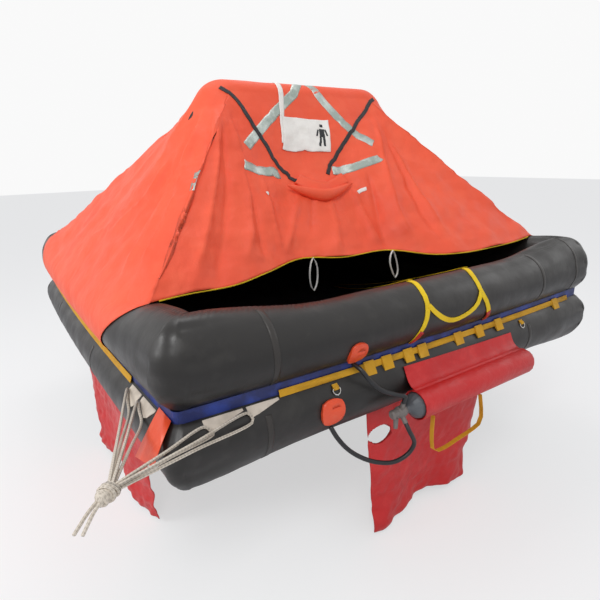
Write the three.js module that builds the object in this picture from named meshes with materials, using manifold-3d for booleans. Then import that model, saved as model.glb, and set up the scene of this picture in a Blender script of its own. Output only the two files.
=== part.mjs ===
// An inflated liferaft: two stacked tube rings, an inflated floor, an arch tube under an orange canopy,
// and the webbing, ropes, hoses, gas cylinder and ballast pockets that hang on it.
// Millimetres, +Z up. The origin is the centre of the floor's flat underside, +X runs along the entrance
// side and the entrance faces -Y.
import * as THREE from "three";
import { mergeVertices } from "three/addons/utils/BufferGeometryUtils.js";
import Module from "manifold-3d";

const wasm = await Module();
wasm.setup();

// Overall plan
const LENGTH = 2540; // over the end tubes, along X
const DEPTH = 2620; // over the front and back tubes, along Y
const SEAT_GAP = 0.4; // what touching pieces keep between them

// Tube rings
const TUBE_R = 130;
const TUBE_PRESS = 2; // how far the two rings press into each other
const TUBE_PITCH = 2 * TUBE_R - TUBE_PRESS; // lower axis to upper axis
const FRONT_BOW = 30; // how far the middle of the front and back tubes bulges outwards
const END_BOW = 25;
const MITRE_R = 8; // the mitre stays this sharp inside the ring and on top
const UPPER_CORNER_ROUND = 92;
const LOWER_CORNER_ROUND = 42;
const CORNER_SWELL = 57; // the upper ring's corners stand this much higher
const CORNER_DROOP = 42; // and the lower ring's corners this much lower
const CORNER_REACH = 300;
const TUBE_SIDES = 18;

// Joining strip and floor
const STRIP_INNER = TUBE_R - 84; // how deep in the groove it starts, from the rings' axis line
const STRIP_OUTER = TUBE_R - 55;
const FLOOR_THICK = 45;

// Arch tube
const ARCH_R = 80;
const ARCH_Y = -180;
const ARCH_TOP = 1425;
const ARCH_SHOULDER = 540; // half the width of the level part, at its outer line
const ARCH_BEND_R = 88;
const ARCH_FOOT_X = LENGTH / 2 - TUBE_R - 45;
const CUFF_LENGTH = 95;
const CUFF_WALL = 4;

// Canopy cloth
const CLOTH = 3;
const CLOTH_GAP = 2.35;
const ARCH_CLOTH_GAP = 1.8;
const CLOTH_SAG = 45;
const PANEL_SEAM = 3.5; // each panel stops this far from the seam line
const CORNER_BARE = 4; // the skirt stops this far from the mitres at the back
const SKIRT_END = -50; // the skirt is glued down to this angle on the upper tube
const NEAR_EDGE_TOP = -893; // where the left panel's front edge lies on the tube top
const NEAR_EDGE_SEAM = -600; // and where it reaches the seam
const RIGHT_EDGE_TOP = -985;

// Webbing and its patches
const WEB_WIDTH = 28;
const WEB_THICK = 3;
const LIFELINE_LOW = 50; // where its lower edge lies round the lower tube, in degrees up from outwards
const LIFELINE_END = 1090;
const LIFELINE_NEAR_END = 840; // it stops this near the bridle corner
const PATCH_WIDTH = 52;
const PATCH_LOW = 38;
const PATCH_TOP = 6; // how far the patches reach above the webbing
const PATCH_THICK = 3.5;

// D-rings
const D_ROD_R = 2.5;
const D_BAR = 34;
const D_REACH = 24;
const D_TAB_WIDTH = 24;
const D_TAB_WALL = 2.4;
const D_TAB_TAIL = 20;
const D_HOLE_R = 3;

// Ropes and hoses
const ROPE_R = 5;
const HOSE_R = 9;
const LINE_R = 2.5;
const CORD_R = 1.5;

// Gas cylinder and its pouch
const CYLINDER_R = 58;
const CYLINDER_LENGTH = 800;
const CYLINDER_X = 70; // its middle
const CYLINDER_Z = 62;
const POUCH_WALL = 4;
const POUCH_GAP = 0.6;
const HEAD_LENGTH = 75;

// Ballast pockets
const FRONT_POCKET_WIDTH = 800;
const END_POCKET_WIDTH = 1000;
const POCKET_DROP = 640;
const POCKET_THICK = 26;
const POCKET_HOLE_W = 130;
const POCKET_HOLE_H = 90;

// Worked out from the sizes above
const HALF_X = LENGTH / 2 - TUBE_R;
const HALF_Y = DEPTH / 2 - TUBE_R;
const LOWER_Z = TUBE_R;
const UPPER_Z = TUBE_R + TUBE_PITCH;
const SEAM_Z = (LOWER_Z + UPPER_Z) / 2;
const DEG = Math.PI / 180;

const v3 = (x, y, z) => new THREE.Vector3(x, y, z);
const mix = (a, b, t) => a + (b - a) * t;
const smooth = (t) => t * t * (3 - 2 * t);

// The four sides of the plan, counterclockwise from above. Each has its outward normal n, its
// direction of travel t, half its length, its distance from the centre and its bow.
const SIDES = {
  front: { n: v3(0, -1, 0), t: v3(1, 0, 0), half: HALF_X, out: HALF_Y, bow: FRONT_BOW },
  right: { n: v3(1, 0, 0), t: v3(0, 1, 0), half: HALF_Y, out: HALF_X, bow: END_BOW },
  back: { n: v3(0, 1, 0), t: v3(-1, 0, 0), half: HALF_X, out: HALF_Y, bow: FRONT_BOW },
  left: { n: v3(-1, 0, 0), t: v3(0, -1, 0), half: HALF_Y, out: HALF_X, bow: END_BOW },
};

// A corner is round on the outside of the ring and almost sharp on the inside.
function cornerRadius(outward, round) {
  return MITRE_R + round * Math.max(0, outward / TUBE_R) ** 1.4;
}

// Where along a side a place is, from -1 at one corner's start to 1 at the other's.
function shareAlong(side, along, outward, round) {
  return Math.min(1, Math.abs(along) / (side.half + outward - cornerRadius(outward, round)));
}

// A point beside a straight side: along it, outwards from the tube's axis line, and up.
function besideSide(side, along, outward, z, round = LOWER_CORNER_ROUND) {
  const bow = side.bow * (1 - shareAlong(side, along, outward, round) ** 2);
  return side.n.clone().multiplyScalar(side.out + bow + outward).addScaledVector(side.t, along).setZ(z);
}

// The places along a side where a ring has a section, as shares of the half side.
const SPOTS = [0, 0.42, 0.7, 0.87, 1];

// How much of the corner swell a place has, from 0 in the middle of a side to 1 at the mitre. It is
// straight between the spots, as the ring's faces are.
function swellAt(side, share) {
  const exact = (s) => Math.exp(-((((1 - s) * side.half) / CORNER_REACH) ** 2));
  const i = Math.min(SPOTS.length - 2, SPOTS.findLastIndex((s) => s <= share));
  const t = (share - SPOTS[i]) / (SPOTS[i + 1] - SPOTS[i]);
  return mix(exact(SPOTS[i]), exact(SPOTS[i + 1]), t);
}

// A ring's section at an angle from straight outwards: its outward and upward reach from the axis.
function sectionPoint(ring, angle, swell, gap = 0) {
  const away = ring === "upper" ? Math.sin(angle) > 0 : Math.sin(angle) < 0;
  const grown = away ? (ring === "upper" ? CORNER_SWELL : CORNER_DROOP) * swell : 0;
  return { outward: (TUBE_R + gap) * Math.cos(angle), up: (TUBE_R + gap + grown) * Math.sin(angle) };
}

// A point on a tube's skin, or a gap off it, at a place along a side and an angle in degrees.
function onTube(ring, side, along, degrees, gap = 0) {
  const round = ring === "upper" ? UPPER_CORNER_ROUND : LOWER_CORNER_ROUND;
  const outward = (TUBE_R + gap) * Math.cos(degrees * DEG);
  const swell = swellAt(side, shareAlong(side, along, outward, round));
  const { up } = sectionPoint(ring, degrees * DEG, swell, gap);
  return besideSide(side, along, outward, (ring === "upper" ? UPPER_Z : LOWER_Z) + up, round);
}

// Turns a geometry into a manifold-3d solid and back.
function toSolid(geometry) {
  const g = geometry.clone();
  g.deleteAttribute("normal");
  g.deleteAttribute("uv");
  const m = mergeVertices(g, 1e-3);
  return new wasm.Manifold(
    new wasm.Mesh({
      numProp: 3,
      vertProperties: new Float32Array(m.attributes.position.array),
      triVerts: new Uint32Array(m.index.array),
    }),
  );
}

function fromSolid(solid) {
  const m = solid.getMesh();
  const g = new THREE.BufferGeometry();
  g.setAttribute("position", new THREE.BufferAttribute(new Float32Array(m.vertProperties), 3));
  g.setIndex(new THREE.BufferAttribute(new Uint32Array(m.triVerts), 1));
  g.computeVertexNormals();
  return g;
}

const cut = (a, b) => fromSolid(toSolid(a).subtract(toSolid(b)));
const join = (...parts) => fromSolid(parts.map(toSolid).reduce((a, b) => a.add(b)));

// An indexed geometry whose faces point outwards, whichever way its quads were wound.
function closedGeometry(points, triangles) {
  let volume = 0;
  for (const [a, b, c] of triangles) {
    volume += points[a].dot(points[b].clone().cross(points[c]));
  }
  const faces = volume < 0 ? triangles.map(([a, b, c]) => [a, c, b]) : triangles;
  const g = new THREE.BufferGeometry().setFromPoints(points);
  g.setIndex(faces.flat());
  g.computeVertexNormals();
  return g;
}

// Joins loops of equal length into one closed skin. A ring's last loop meets its first, and a plain
// loft is closed at each end by a fan about the loop's middle.
function loft(loops, ring = false) {
  const n = loops[0].length;
  const points = loops.flat();
  const triangles = [];
  const spans = ring ? loops.length : loops.length - 1;
  for (let i = 0; i < spans; i++) {
    const a = i * n;
    const b = ((i + 1) % loops.length) * n;
    for (let j = 0; j < n; j++) {
      const k = (j + 1) % n;
      triangles.push([a + j, b + j, b + k], [a + j, b + k, a + k]);
    }
  }
  if (!ring) {
    for (const [loop, start, flip] of [[loops[0], 0, false], [loops.at(-1), (loops.length - 1) * n, true]]) {
      const middle = loop.reduce((s, p) => s.add(p), v3(0, 0, 0)).divideScalar(n);
      points.push(middle);
      for (let j = 0; j < n; j++) {
        const k = (j + 1) % n;
        const fan = [points.length - 1, start + j, start + k];
        triangles.push(flip ? [fan[0], fan[2], fan[1]] : fan);
      }
    }
  }
  return closedGeometry(points, triangles);
}

// A thin sheet of even thickness over a grid of points, inner face on the grid.
function sheet(grid, thickness) {
  const rows = grid.length;
  const cols = grid[0].length;
  const at = (i, j) => grid[Math.min(rows - 1, Math.max(0, i))][Math.min(cols - 1, Math.max(0, j))];
  const outer = grid.map((row, i) =>
    row.map((p, j) => {
      const du = at(i, j + 1).clone().sub(at(i, j - 1));
      const dv = at(i + 1, j).clone().sub(at(i - 1, j));
      return p.clone().addScaledVector(du.cross(dv).normalize(), thickness);
    }),
  );
  const points = [...grid.flat(), ...outer.flat()];
  const lift = rows * cols;
  const id = (i, j) => i * cols + j;
  const triangles = [];
  const quad = (a, b, c, d) => triangles.push([a, b, c], [a, c, d]);
  for (let i = 0; i < rows - 1; i++) {
    for (let j = 0; j < cols - 1; j++) {
      quad(id(i, j), id(i + 1, j), id(i + 1, j + 1), id(i, j + 1));
      quad(lift + id(i, j), lift + id(i, j + 1), lift + id(i + 1, j + 1), lift + id(i + 1, j));
    }
  }
  for (let j = 0; j < cols - 1; j++) {
    quad(id(0, j), id(0, j + 1), lift + id(0, j + 1), lift + id(0, j));
    quad(id(rows - 1, j + 1), id(rows - 1, j), lift + id(rows - 1, j), lift + id(rows - 1, j + 1));
  }
  for (let i = 0; i < rows - 1; i++) {
    quad(id(i + 1, 0), id(i, 0), lift + id(i, 0), lift + id(i + 1, 0));
    quad(id(i, cols - 1), id(i + 1, cols - 1), lift + id(i + 1, cols - 1), lift + id(i, cols - 1));
  }
  return closedGeometry(points, triangles);
}

// Even steps from one value to another.
const steps = (from, to, n) => Array.from({ length: n + 1 }, (_, i) => mix(from, to, i / n));

// A sheet worked out from a function of two parameters that each run from 0 to 1. The rows may be a
// count or the list of their places.
function sheetOf(place, rows, cols, thickness) {
  const places = Array.isArray(rows) ? rows : steps(0, 1, rows);
  const across = Array.isArray(cols) ? cols : steps(0, 1, cols);
  return sheet(places.map((v) => across.map((u) => place(u, v))), thickness);
}

// A round tube along a smooth curve through points.
function cordAlong(points, radius, steps, sides = 8) {
  const shape = new THREE.Shape();
  for (let i = 0; i < sides; i++) {
    const a = (i * 2 * Math.PI) / sides;
    shape[i ? "lineTo" : "moveTo"](radius * Math.cos(a), radius * Math.sin(a));
  }
  return new THREE.ExtrudeGeometry(shape, {
    steps,
    bevelEnabled: false,
    extrudePath: new THREE.CatmullRomCurve3(points, false, "centripetal"),
  });
}

// A flat strap: at each station a centre, the direction of its width and the direction of its face.
function strap(stations, width, thickness) {
  return loft(
    stations.map(({ p, across, face }) =>
      [[-1, 0], [1, 0], [1, 1], [-1, 1]].map(([w, h]) =>
        p.clone().addScaledVector(across, (w * width) / 2).addScaledVector(face, h * thickness),
      ),
    ),
  );
}

// A box with chamfered long edges, lofted along X, then turned and placed by the caller.
function roundedBar(length, width, height, chamfer) {
  const w = width / 2;
  const h = height / 2;
  const outline = [[w - chamfer, -h], [w, -h + chamfer], [w, h - chamfer], [w - chamfer, h],
    [-w + chamfer, h], [-w, h - chamfer], [-w, -h + chamfer], [-w + chamfer, -h]];
  return loft([-length / 2, length / 2].map((x) => outline.map(([y, z]) => v3(x, y, z))));
}

// The tube rings

// Every place round a ring where a section stands: spots along each side, closer near the mitres,
// and spots round each corner.
function ringStations() {
  const stations = [];
  for (const side of Object.values(SIDES)) {
    for (const s of [...SPOTS.slice(1).map((spot) => -spot).reverse(), ...SPOTS]) {
      stations.push({ side, s });
    }
    for (const turn of [30, 60]) {
      stations.push({ side, turn: turn * DEG });
    }
  }
  return stations;
}

// The point of a ring station for an outward offset from the tube's axis line and a height.
function stationPoint({ side, s, turn }, outward, z, round) {
  const r = cornerRadius(outward, round);
  const stretch = side.half + outward - r;
  if (turn === undefined) {
    const out = side.out + outward + side.bow * (1 - s * s);
    return side.n.clone().multiplyScalar(out).addScaledVector(side.t, s * stretch).setZ(z);
  }
  return side.n
    .clone()
    .multiplyScalar(side.out + outward - r + r * Math.cos(turn))
    .addScaledVector(side.t, stretch + r * Math.sin(turn))
    .setZ(z);
}

function tubeRing(ring, grow = 0) {
  const z0 = ring === "upper" ? UPPER_Z : LOWER_Z;
  const round = ring === "upper" ? UPPER_CORNER_ROUND : LOWER_CORNER_ROUND;
  const contact = TUBE_PITCH / 2 - SEAT_GAP / 2;
  const loops = ringStations().map((station) => {
    const swell = swellAt(station.side, station.turn === undefined ? Math.abs(station.s) : 1);
    return Array.from({ length: TUBE_SIDES }, (_, i) => {
      const p = sectionPoint(ring, (i + 0.5) * ((2 * Math.PI) / TUBE_SIDES), swell, grow);
      const up = ring === "upper" ? Math.max(p.up, -contact) : Math.min(p.up, contact);
      return stationPoint(station, p.outward, z0 + up, round);
    });
  });
  return loft(loops, true);
}

// A wedge of fabric that fills the outer groove between the rings.
function joiningStrip() {
  const reach = (outward) => Math.sqrt(TUBE_R ** 2 - outward ** 2);
  const half = (outward) => TUBE_PITCH / 2 - reach(outward) - SEAT_GAP;
  const outline = [];
  const rings = [STRIP_INNER, (STRIP_INNER + STRIP_OUTER) / 2, STRIP_OUTER];
  for (const o of rings) outline.push([o, half(o)]);
  for (const o of [...rings].reverse()) outline.push([o, -half(o)]);
  return loft(
    ringStations().map((station) =>
      outline.map(([o, h]) => stationPoint(station, o, SEAM_Z + h, LOWER_CORNER_ROUND)),
    ),
    true,
  );
}

// The floor follows the lower ring's inner face from its underside up to the floor's top.
function inflatedFloor() {
  const clear = TUBE_R + 3.6;
  const edge = (station, z) => {
    const swell = swellAt(station.side, station.turn === undefined ? Math.abs(station.s) : 1);
    const below = (LOWER_Z - z) / (clear + CORNER_DROOP * swell);
    return -clear * Math.sqrt(1 - below ** 2);
  };
  const levels = [[6, 0], [6, 6], [24, 24], [FLOOR_THICK, FLOOR_THICK]];
  return loft(
    levels.map(([at, z]) => ringStations().map((st) => stationPoint(st, edge(st, at), z, LOWER_CORNER_ROUND))),
  );
}

// The arch and the canopy over it

// Half the angle that the arch turns through at a shoulder, and the level part's end.
const LEG_RISE = ARCH_TOP - UPPER_Z - TUBE_R;
const LEG_RUN = ARCH_FOOT_X + 75 - ARCH_SHOULDER;
const LEG_SLOPE = Math.atan2(LEG_RISE, LEG_RUN);
const ARCH_AXIS_Z = ARCH_TOP - ARCH_R;
const AXIS_CORNER_X = ARCH_SHOULDER - ARCH_R * Math.tan(LEG_SLOPE / 2);
const LEVEL_END = AXIS_CORNER_X - ARCH_BEND_R * Math.tan(LEG_SLOPE / 2);
const BEND_CENTRE_Z = ARCH_AXIS_Z - ARCH_BEND_R;

// A point beside the arch's axis. run is the place along it from the middle: under LEVEL_END it is on
// the level part, then it turns through the bend, then it goes down the leg.
function archPoint(sign, stage, amount, radial, across) {
  let x;
  let z;
  if (stage === "level") {
    x = amount;
    z = ARCH_AXIS_Z + radial;
  } else {
    const turn = stage === "bend" ? amount : LEG_SLOPE;
    const down = stage === "leg" ? amount : 0;
    const r = ARCH_BEND_R + radial;
    x = LEVEL_END + r * Math.sin(turn) + down * Math.cos(LEG_SLOPE);
    z = BEND_CENTRE_Z + r * Math.cos(turn) - down * Math.sin(LEG_SLOPE);
  }
  return v3(sign * x, ARCH_Y + across, z);
}

const LEG_LENGTH =
  (BEND_CENTRE_Z + ARCH_BEND_R * Math.cos(LEG_SLOPE) - (UPPER_Z + TUBE_R * 0.8)) / Math.sin(LEG_SLOPE);

function archLoop(sign, stage, amount, radius, sides = 14) {
  return Array.from({ length: sides }, (_, i) => {
    const a = (i * 2 * Math.PI) / sides;
    return archPoint(sign, stage, amount, radius * Math.cos(a), radius * Math.sin(a));
  });
}

function archTube() {
  const bends = [1 / 3, 2 / 3, 1].map((f) => f * LEG_SLOPE);
  const stages = [["leg", LEG_LENGTH], ["leg", LEG_LENGTH / 2], ...bends.map((b) => ["bend", b]).reverse()];
  const loops = [
    ...stages.map(([st, am]) => archLoop(-1, st, am, ARCH_R)),
    archLoop(-1, "level", LEVEL_END, ARCH_R),
    archLoop(1, "level", 0, ARCH_R),
    archLoop(1, "level", LEVEL_END, ARCH_R),
    ...stages.reverse().map(([st, am]) => archLoop(1, st, am, ARCH_R)),
  ];
  return cut(loft(loops), tubeRing("upper", 0.6));
}

// A sleeve glued round each foot of the arch, cut to the tube that it stands on.
function archCuff(sign) {
  const around = (radius, from, to) =>
    loft([from, to].map((down) => archLoop(sign, "leg", down, radius)));
  const start = LEG_LENGTH - CUFF_LENGTH - 60;
  const body = cut(
    around(ARCH_R + CUFF_WALL + SEAT_GAP, start, LEG_LENGTH),
    around(ARCH_R + SEAT_GAP, start - 5, LEG_LENGTH + 5),
  );
  return cut(body, tubeRing("upper", 0.6));
}

// Outline of an upper tube's section with the cloth's clearance: the angle at which a straight run
// from a point meets it.
function tangentAngle(side, along, from) {
  const share = shareAlong(side, along, TUBE_R * 0.7, UPPER_CORNER_ROUND);
  const wide = TUBE_R + CLOTH_GAP;
  const tall = wide + CORNER_SWELL * swellAt(side, share);
  const bow = side.bow * (1 - share ** 2);
  const a = from.dot(side.n) - (side.out + bow);
  const b = ((from.z - UPPER_Z) * wide) / tall;
  return (Math.atan2(b, a) - Math.acos(Math.min(1, wide / Math.hypot(a, b)))) / DEG;
}

// One line of cloth from the arch, down to a tube and round it to the skirt's end. v runs from 0 at
// the arch to 1 at the skirt's lower edge; a fifth of it lies on the arch and three tenths on the tube.
const ON_ARCH = 0.2;
const ON_TUBE = 0.3;
// The skirt bends where the upper ring's faces meet, so it lies evenly on them.
const SKIRT_ANGLES = [70, 50, 30, 10, -10, -30, SKIRT_END];
const CLOTH_ROWS = [
  ...steps(0, ON_ARCH, 4),
  ...steps(ON_ARCH, 1 - ON_TUBE, 4).slice(1),
  ...steps(1 - ON_TUBE, 1, SKIRT_ANGLES.length).slice(1),
];
const FRONT_ROWS = [...steps(0, ON_ARCH, 4), ...steps(ON_ARCH, 1, 8).slice(1)];
function clothLine({ arch, side, alongTop, alongSkirt, meet, v, slack = 1 }) {
  if (v <= ON_ARCH) return arch(v / ON_ARCH);
  const from = arch(1);
  const landing = onTube("upper", side, alongTop, meet, CLOTH_GAP);
  if (v <= 1 - ON_TUBE) {
    const t = (v - ON_ARCH) / (1 - ON_ARCH - ON_TUBE);
    const sag = slack * CLOTH_SAG * 3.4 * t * (1 - t) ** 2;
    return from.clone().lerp(landing, t).addScaledVector(side.n, -sag).add(v3(0, 0, -sag * 0.6));
  }
  const t = (v - 1 + ON_TUBE) / ON_TUBE;
  const fold = Math.round(t * SKIRT_ANGLES.length) - 1;
  const angle = Math.min(SKIRT_ANGLES[fold], meet - 1.5 * (fold + 1));
  return onTube("upper", side, mix(alongTop, alongSkirt, smooth(t)), angle, CLOTH_GAP);
}

// The angles from straight up at which the cloth leaves the arch at a shoulder, front and back.
const LEAVES_FRONT = 74;
const LEAVES_BACK = 42;
const SHOULDER_EASE = 3; // the cloth stands this much further off the arch's bends
const SHOULDER_SHARE = 0.09; // how far down the hip seam an end panel's edge has come when its crest leaves the bend

// Where a hip seam starts: sign is the shoulder's side, toBack says which of its two seams.
function shoulder(sign, toBack) {
  const skin = ARCH_R + ARCH_CLOTH_GAP + SHOULDER_EASE;
  const psi = (toBack ? LEAVES_BACK : -LEAVES_FRONT) * DEG;
  return archPoint(sign, "bend", 0.05 * LEG_SLOPE, skin * Math.cos(psi), skin * Math.sin(psi));
}

// Where a panel's columns lie along its side: where the ring's faces meet, and between.
const FACE_REACH = 27; // the ring's faces meet this much further out than on its axis line
const columnsAlong = (side) => {
  const bends = SPOTS.slice(1, -1).map((spot) => spot * (side.half + FACE_REACH));
  const between = [-0.57, -0.28, 0.1, 0.28, 0.57].map((spot) => spot * side.half);
  return [...bends.map((b) => -b), ...between, ...bends].sort((a, b) => a - b);
};

// End panel, left or right: from the shoulder over the arch leg to the end tube. One of its columns
// follows the leg's crest.
function endPanel(sign) {
  const side = sign < 0 ? SIDES.left : SIDES.right;
  const front = sign < 0 ? NEAR_EDGE_TOP : RIGHT_EDGE_TOP;
  const back = HALF_Y - CORNER_BARE;
  const crest = (ARCH_Y - front) / (back - front);
  return sheetOf(
    (u, v) => {
      const aside = u < crest ? u / crest - 1 : (u - crest) / (1 - crest);
      const psi = aside * (aside < 0 ? LEAVES_FRONT : LEAVES_BACK) * DEG;
      const skin = ARCH_R + ARCH_CLOTH_GAP + SHOULDER_EASE;
      const y = mix(front + PANEL_SEAM, back - PANEL_SEAM, u);
      const skirtY = mix(sign < 0 ? NEAR_EDGE_SEAM : front, back - PANEL_SEAM, u);
      const edge = onTube("upper", side, y * side.t.y, 90, CLOTH_GAP);
      const arch = (t) => {
        const turn = mix(0.05, 1, t) * LEG_SLOPE;
        const over = archPoint(sign, "bend", turn, skin * Math.cos(psi), skin * Math.sin(psi));
        return over.lerp(shoulder(sign, aside > 0).lerp(edge, t * SHOULDER_SHARE), aside ** 4);
      };
      const free = tangentAngle(side, y * side.t.y, arch(1));
      const meet = mix(free, 90, aside ** 2);
      const places = { alongTop: y * side.t.y, alongSkirt: skirtY * side.t.y };
      const slack = 4 * Math.abs(aside) * (1 - Math.abs(aside));
      return clothLine({ arch, side, ...places, meet, v, slack });
    },
    CLOTH_ROWS,
    [0, ...columnsAlong(side).filter((y) => y > front).map((y) => (y - front) / (back - front)), crest, 1].sort(),
    -sign * CLOTH,
  );
}

// Back panel: from the level part of the arch to the back tube.
function backPanel() {
  const side = SIDES.back;
  return sheetOf(
    (u, v) => {
      const x = mix(-1, 1, u);
      const skin = ARCH_R + ARCH_CLOTH_GAP - 1;
      const topX = x * (LEVEL_END - PANEL_SEAM);
      const arch = (t) => {
        const a = (90 - mix(2, LEAVES_BACK, t)) * DEG;
        return v3(topX, ARCH_Y + skin * Math.cos(a), ARCH_AXIS_Z + skin * Math.sin(a));
      };
      const tubeX = x * (HALF_X - CORNER_BARE - PANEL_SEAM);
      const free = tangentAngle(side, -tubeX, arch(1));
      const meet = mix(free, 90, x ** 4);
      return clothLine({ arch, side, alongTop: -tubeX, alongSkirt: -tubeX, meet, v, slack: 1 - x ** 4 });
    },
    CLOTH_ROWS,
    [0, ...columnsAlong(side).map((x) => 0.5 + x / (HALF_X - CORNER_BARE - PANEL_SEAM) / 2), 1],
    CLOTH,
  );
}

// The front panel's free hem, from the left tube across the entrance to the right tube.
const HEM = new THREE.CatmullRomCurve3([
  onTube("upper", SIDES.left, -NEAR_EDGE_TOP, 88, 4),
  v3(-1000, -872, 549),
  v3(-779, -850, 545),
  v3(-590, -790, 558),
  v3(-340, -700, 575),
  v3(-125, -750, 560),
  v3(166, -765, 562),
  v3(360, -915, 536),
  v3(515, -985, 536),
  v3(744, -1000, 540),
  v3(960, -1000, 548),
  onTube("upper", SIDES.right, RIGHT_EDGE_TOP, 92, 4),
]);

// The front panel as a function of place across and down, used for what is sewn on it too.
function frontCloth(u, v, lift = 0) {
  const skin = ARCH_R + ARCH_CLOTH_GAP + lift;
  const hem = HEM.getPointAt(mix(0.006, 0.994, u));
  const topX = mix(-1, 1, u) * (LEVEL_END - PANEL_SEAM);
  const a = (90 - mix(2, LEAVES_FRONT, Math.min(1, v / ON_ARCH))) * DEG;
  const start = v3(topX, ARCH_Y - skin * Math.cos(a), ARCH_AXIS_Z + skin * Math.sin(a));
  if (v <= ON_ARCH) return start;
  const t = (v - ON_ARCH) / (1 - ON_ARCH);
  const sag = CLOTH_SAG * 4 * t * (1 - t) * (1 - (2 * u - 1) ** 6);
  return start.lerp(hem, t).add(v3(0, sag + lift * -0.7, sag * -0.5 + lift * 0.7));
}

const frontPanel = () => sheetOf((u, v) => frontCloth(u, v), FRONT_ROWS, 18, -CLOTH);

// The white sheet sewn on the front panel.
function noticePanel() {
  const lift = CLOTH + 1;
  const rows = FRONT_ROWS.filter((v) => v > 0.25 && v < 0.55);
  return sheetOf((u, v) => frontCloth(mix(0.35, 0.58, u), v, lift), rows, 4, -1.5);
}

// The door flap, rolled and tucked into a soft bundle at the bottom of the two zips.
function flapRoll() {
  const loops = [];
  for (let i = 0; i <= 10; i++) {
    const s = i / 10;
    const fat = Math.max(0.12, Math.sin(Math.PI * s) ** 0.6);
    const dip = -46 * Math.sin(Math.PI * s);
    const c = frontCloth(mix(0.335, 0.565, s), 0.66, CLOTH + 16.5);
    loops.push(
      Array.from({ length: 10 }, (_, j) => {
        const a = (j * 2 * Math.PI) / 10;
        return c.clone().add(v3(0, dip * 0.7 - 20 * fat * Math.cos(a), dip + 32 * fat * Math.sin(a)));
      }),
    );
  }
  return loft(loops);
}

// A white tape loop that hangs from the hem.
function hemTie(at, drop, lean) {
  const top = HEM.getPointAt(at).add(v3(0, -6, -3.5));
  const wide = 22;
  const loop = [v3(0, 0, 0), v3(-wide, -4, -drop * 0.35), v3(-wide * 0.8 + lean, -8, -drop * 0.8),
    v3(lean, -10, -drop), v3(wide * 0.9 + lean, -8, -drop * 0.8), v3(wide, -4, -drop * 0.3)];
  const curve = new THREE.CatmullRomCurve3(loop.map((p) => p.add(top)), true);
  const n = 14;
  const loops = Array.from({ length: n }, (_, i) => {
    const p = curve.getPointAt(i / n);
    const tangent = curve.getTangentAt(i / n);
    const face = v3(0, 1, 0).cross(tangent).normalize();
    return [[-5, -1.2], [5, -1.2], [5, 1.2], [-5, 1.2]].map(([w, h]) =>
      p.clone().add(v3(0, w, 0)).addScaledVector(face, h),
    );
  });
  return loft(loops, true);
}

// Webbing on the tubes

const PATCH_PLACES = [-430, -335, -215, -130, 105, 257, 410, 945];

// A band's section beside the seam: its feet lie on the lower tube, the lowest first, and it stands
// up outside the joining strip.
function bandLoop(side, along, feet, top, thick) {
  const r = TUBE_R + SEAT_GAP + 0.2;
  const inner = feet.map((low) => new THREE.Vector2(r * Math.cos(low * DEG), r * Math.sin(low * DEG)));
  const head = new THREE.Vector2(STRIP_OUTER + 2, top);
  const lean = head.clone().sub(inner[0]).normalize();
  const away = new THREE.Vector2(lean.y, -lean.x).multiplyScalar(thick);
  const section = [...inner, head, head.clone().add(away), inner[0].clone().add(away)];
  return section.map(({ x, y }) => besideSide(side, along, x, LOWER_Z + y));
}
const LIFELINE_TOP = TUBE_R * Math.sin(LIFELINE_LOW * DEG) + WEB_WIDTH - 2;

function lifeline(name) {
  const side = SIDES[name];
  const from = name === "front" ? -LIFELINE_NEAR_END : -LIFELINE_END;
  const to = name === "left" ? LIFELINE_NEAR_END : LIFELINE_END;
  return loft(steps(from, to, 10).map((x) => bandLoop(side, x, [LIFELINE_LOW], LIFELINE_TOP, WEB_THICK)));
}

// The front lifeline with its eight fixing patches sewn over it.
function frontLifeline() {
  const patches = PATCH_PLACES.map((x) =>
    loft(
      [-0.5, 0.5].map((w) =>
        bandLoop(SIDES.front, x + w * PATCH_WIDTH, [PATCH_LOW, LIFELINE_LOW], LIFELINE_TOP + PATCH_TOP, PATCH_THICK),
      ),
    ),
  );
  return join(lifeline("front"), ...patches);
}

// A D-ring and its tab. The tab is a webbing fold round the ring's straight bar; its tail lies on the
// lower tube. The frame of the pair: X along the tube, radial outwards, tangent down the tube.
function ringFrame(x, degrees) {
  const a = degrees * DEG;
  const axis = besideSide(SIDES.front, x, 0, LOWER_Z);
  return {
    axis,
    radial: v3(0, -Math.cos(a), Math.sin(a)),
    down: v3(0, -Math.sin(a), -Math.cos(a)),
  };
}
const RINGS = [{ x: -612, degrees: 35 }, { x: 585, degrees: 35 }];
const RING_PIVOT = TUBE_R + SEAT_GAP + 0.6 + D_HOLE_R + D_TAB_WALL; // from the tube's axis

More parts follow.
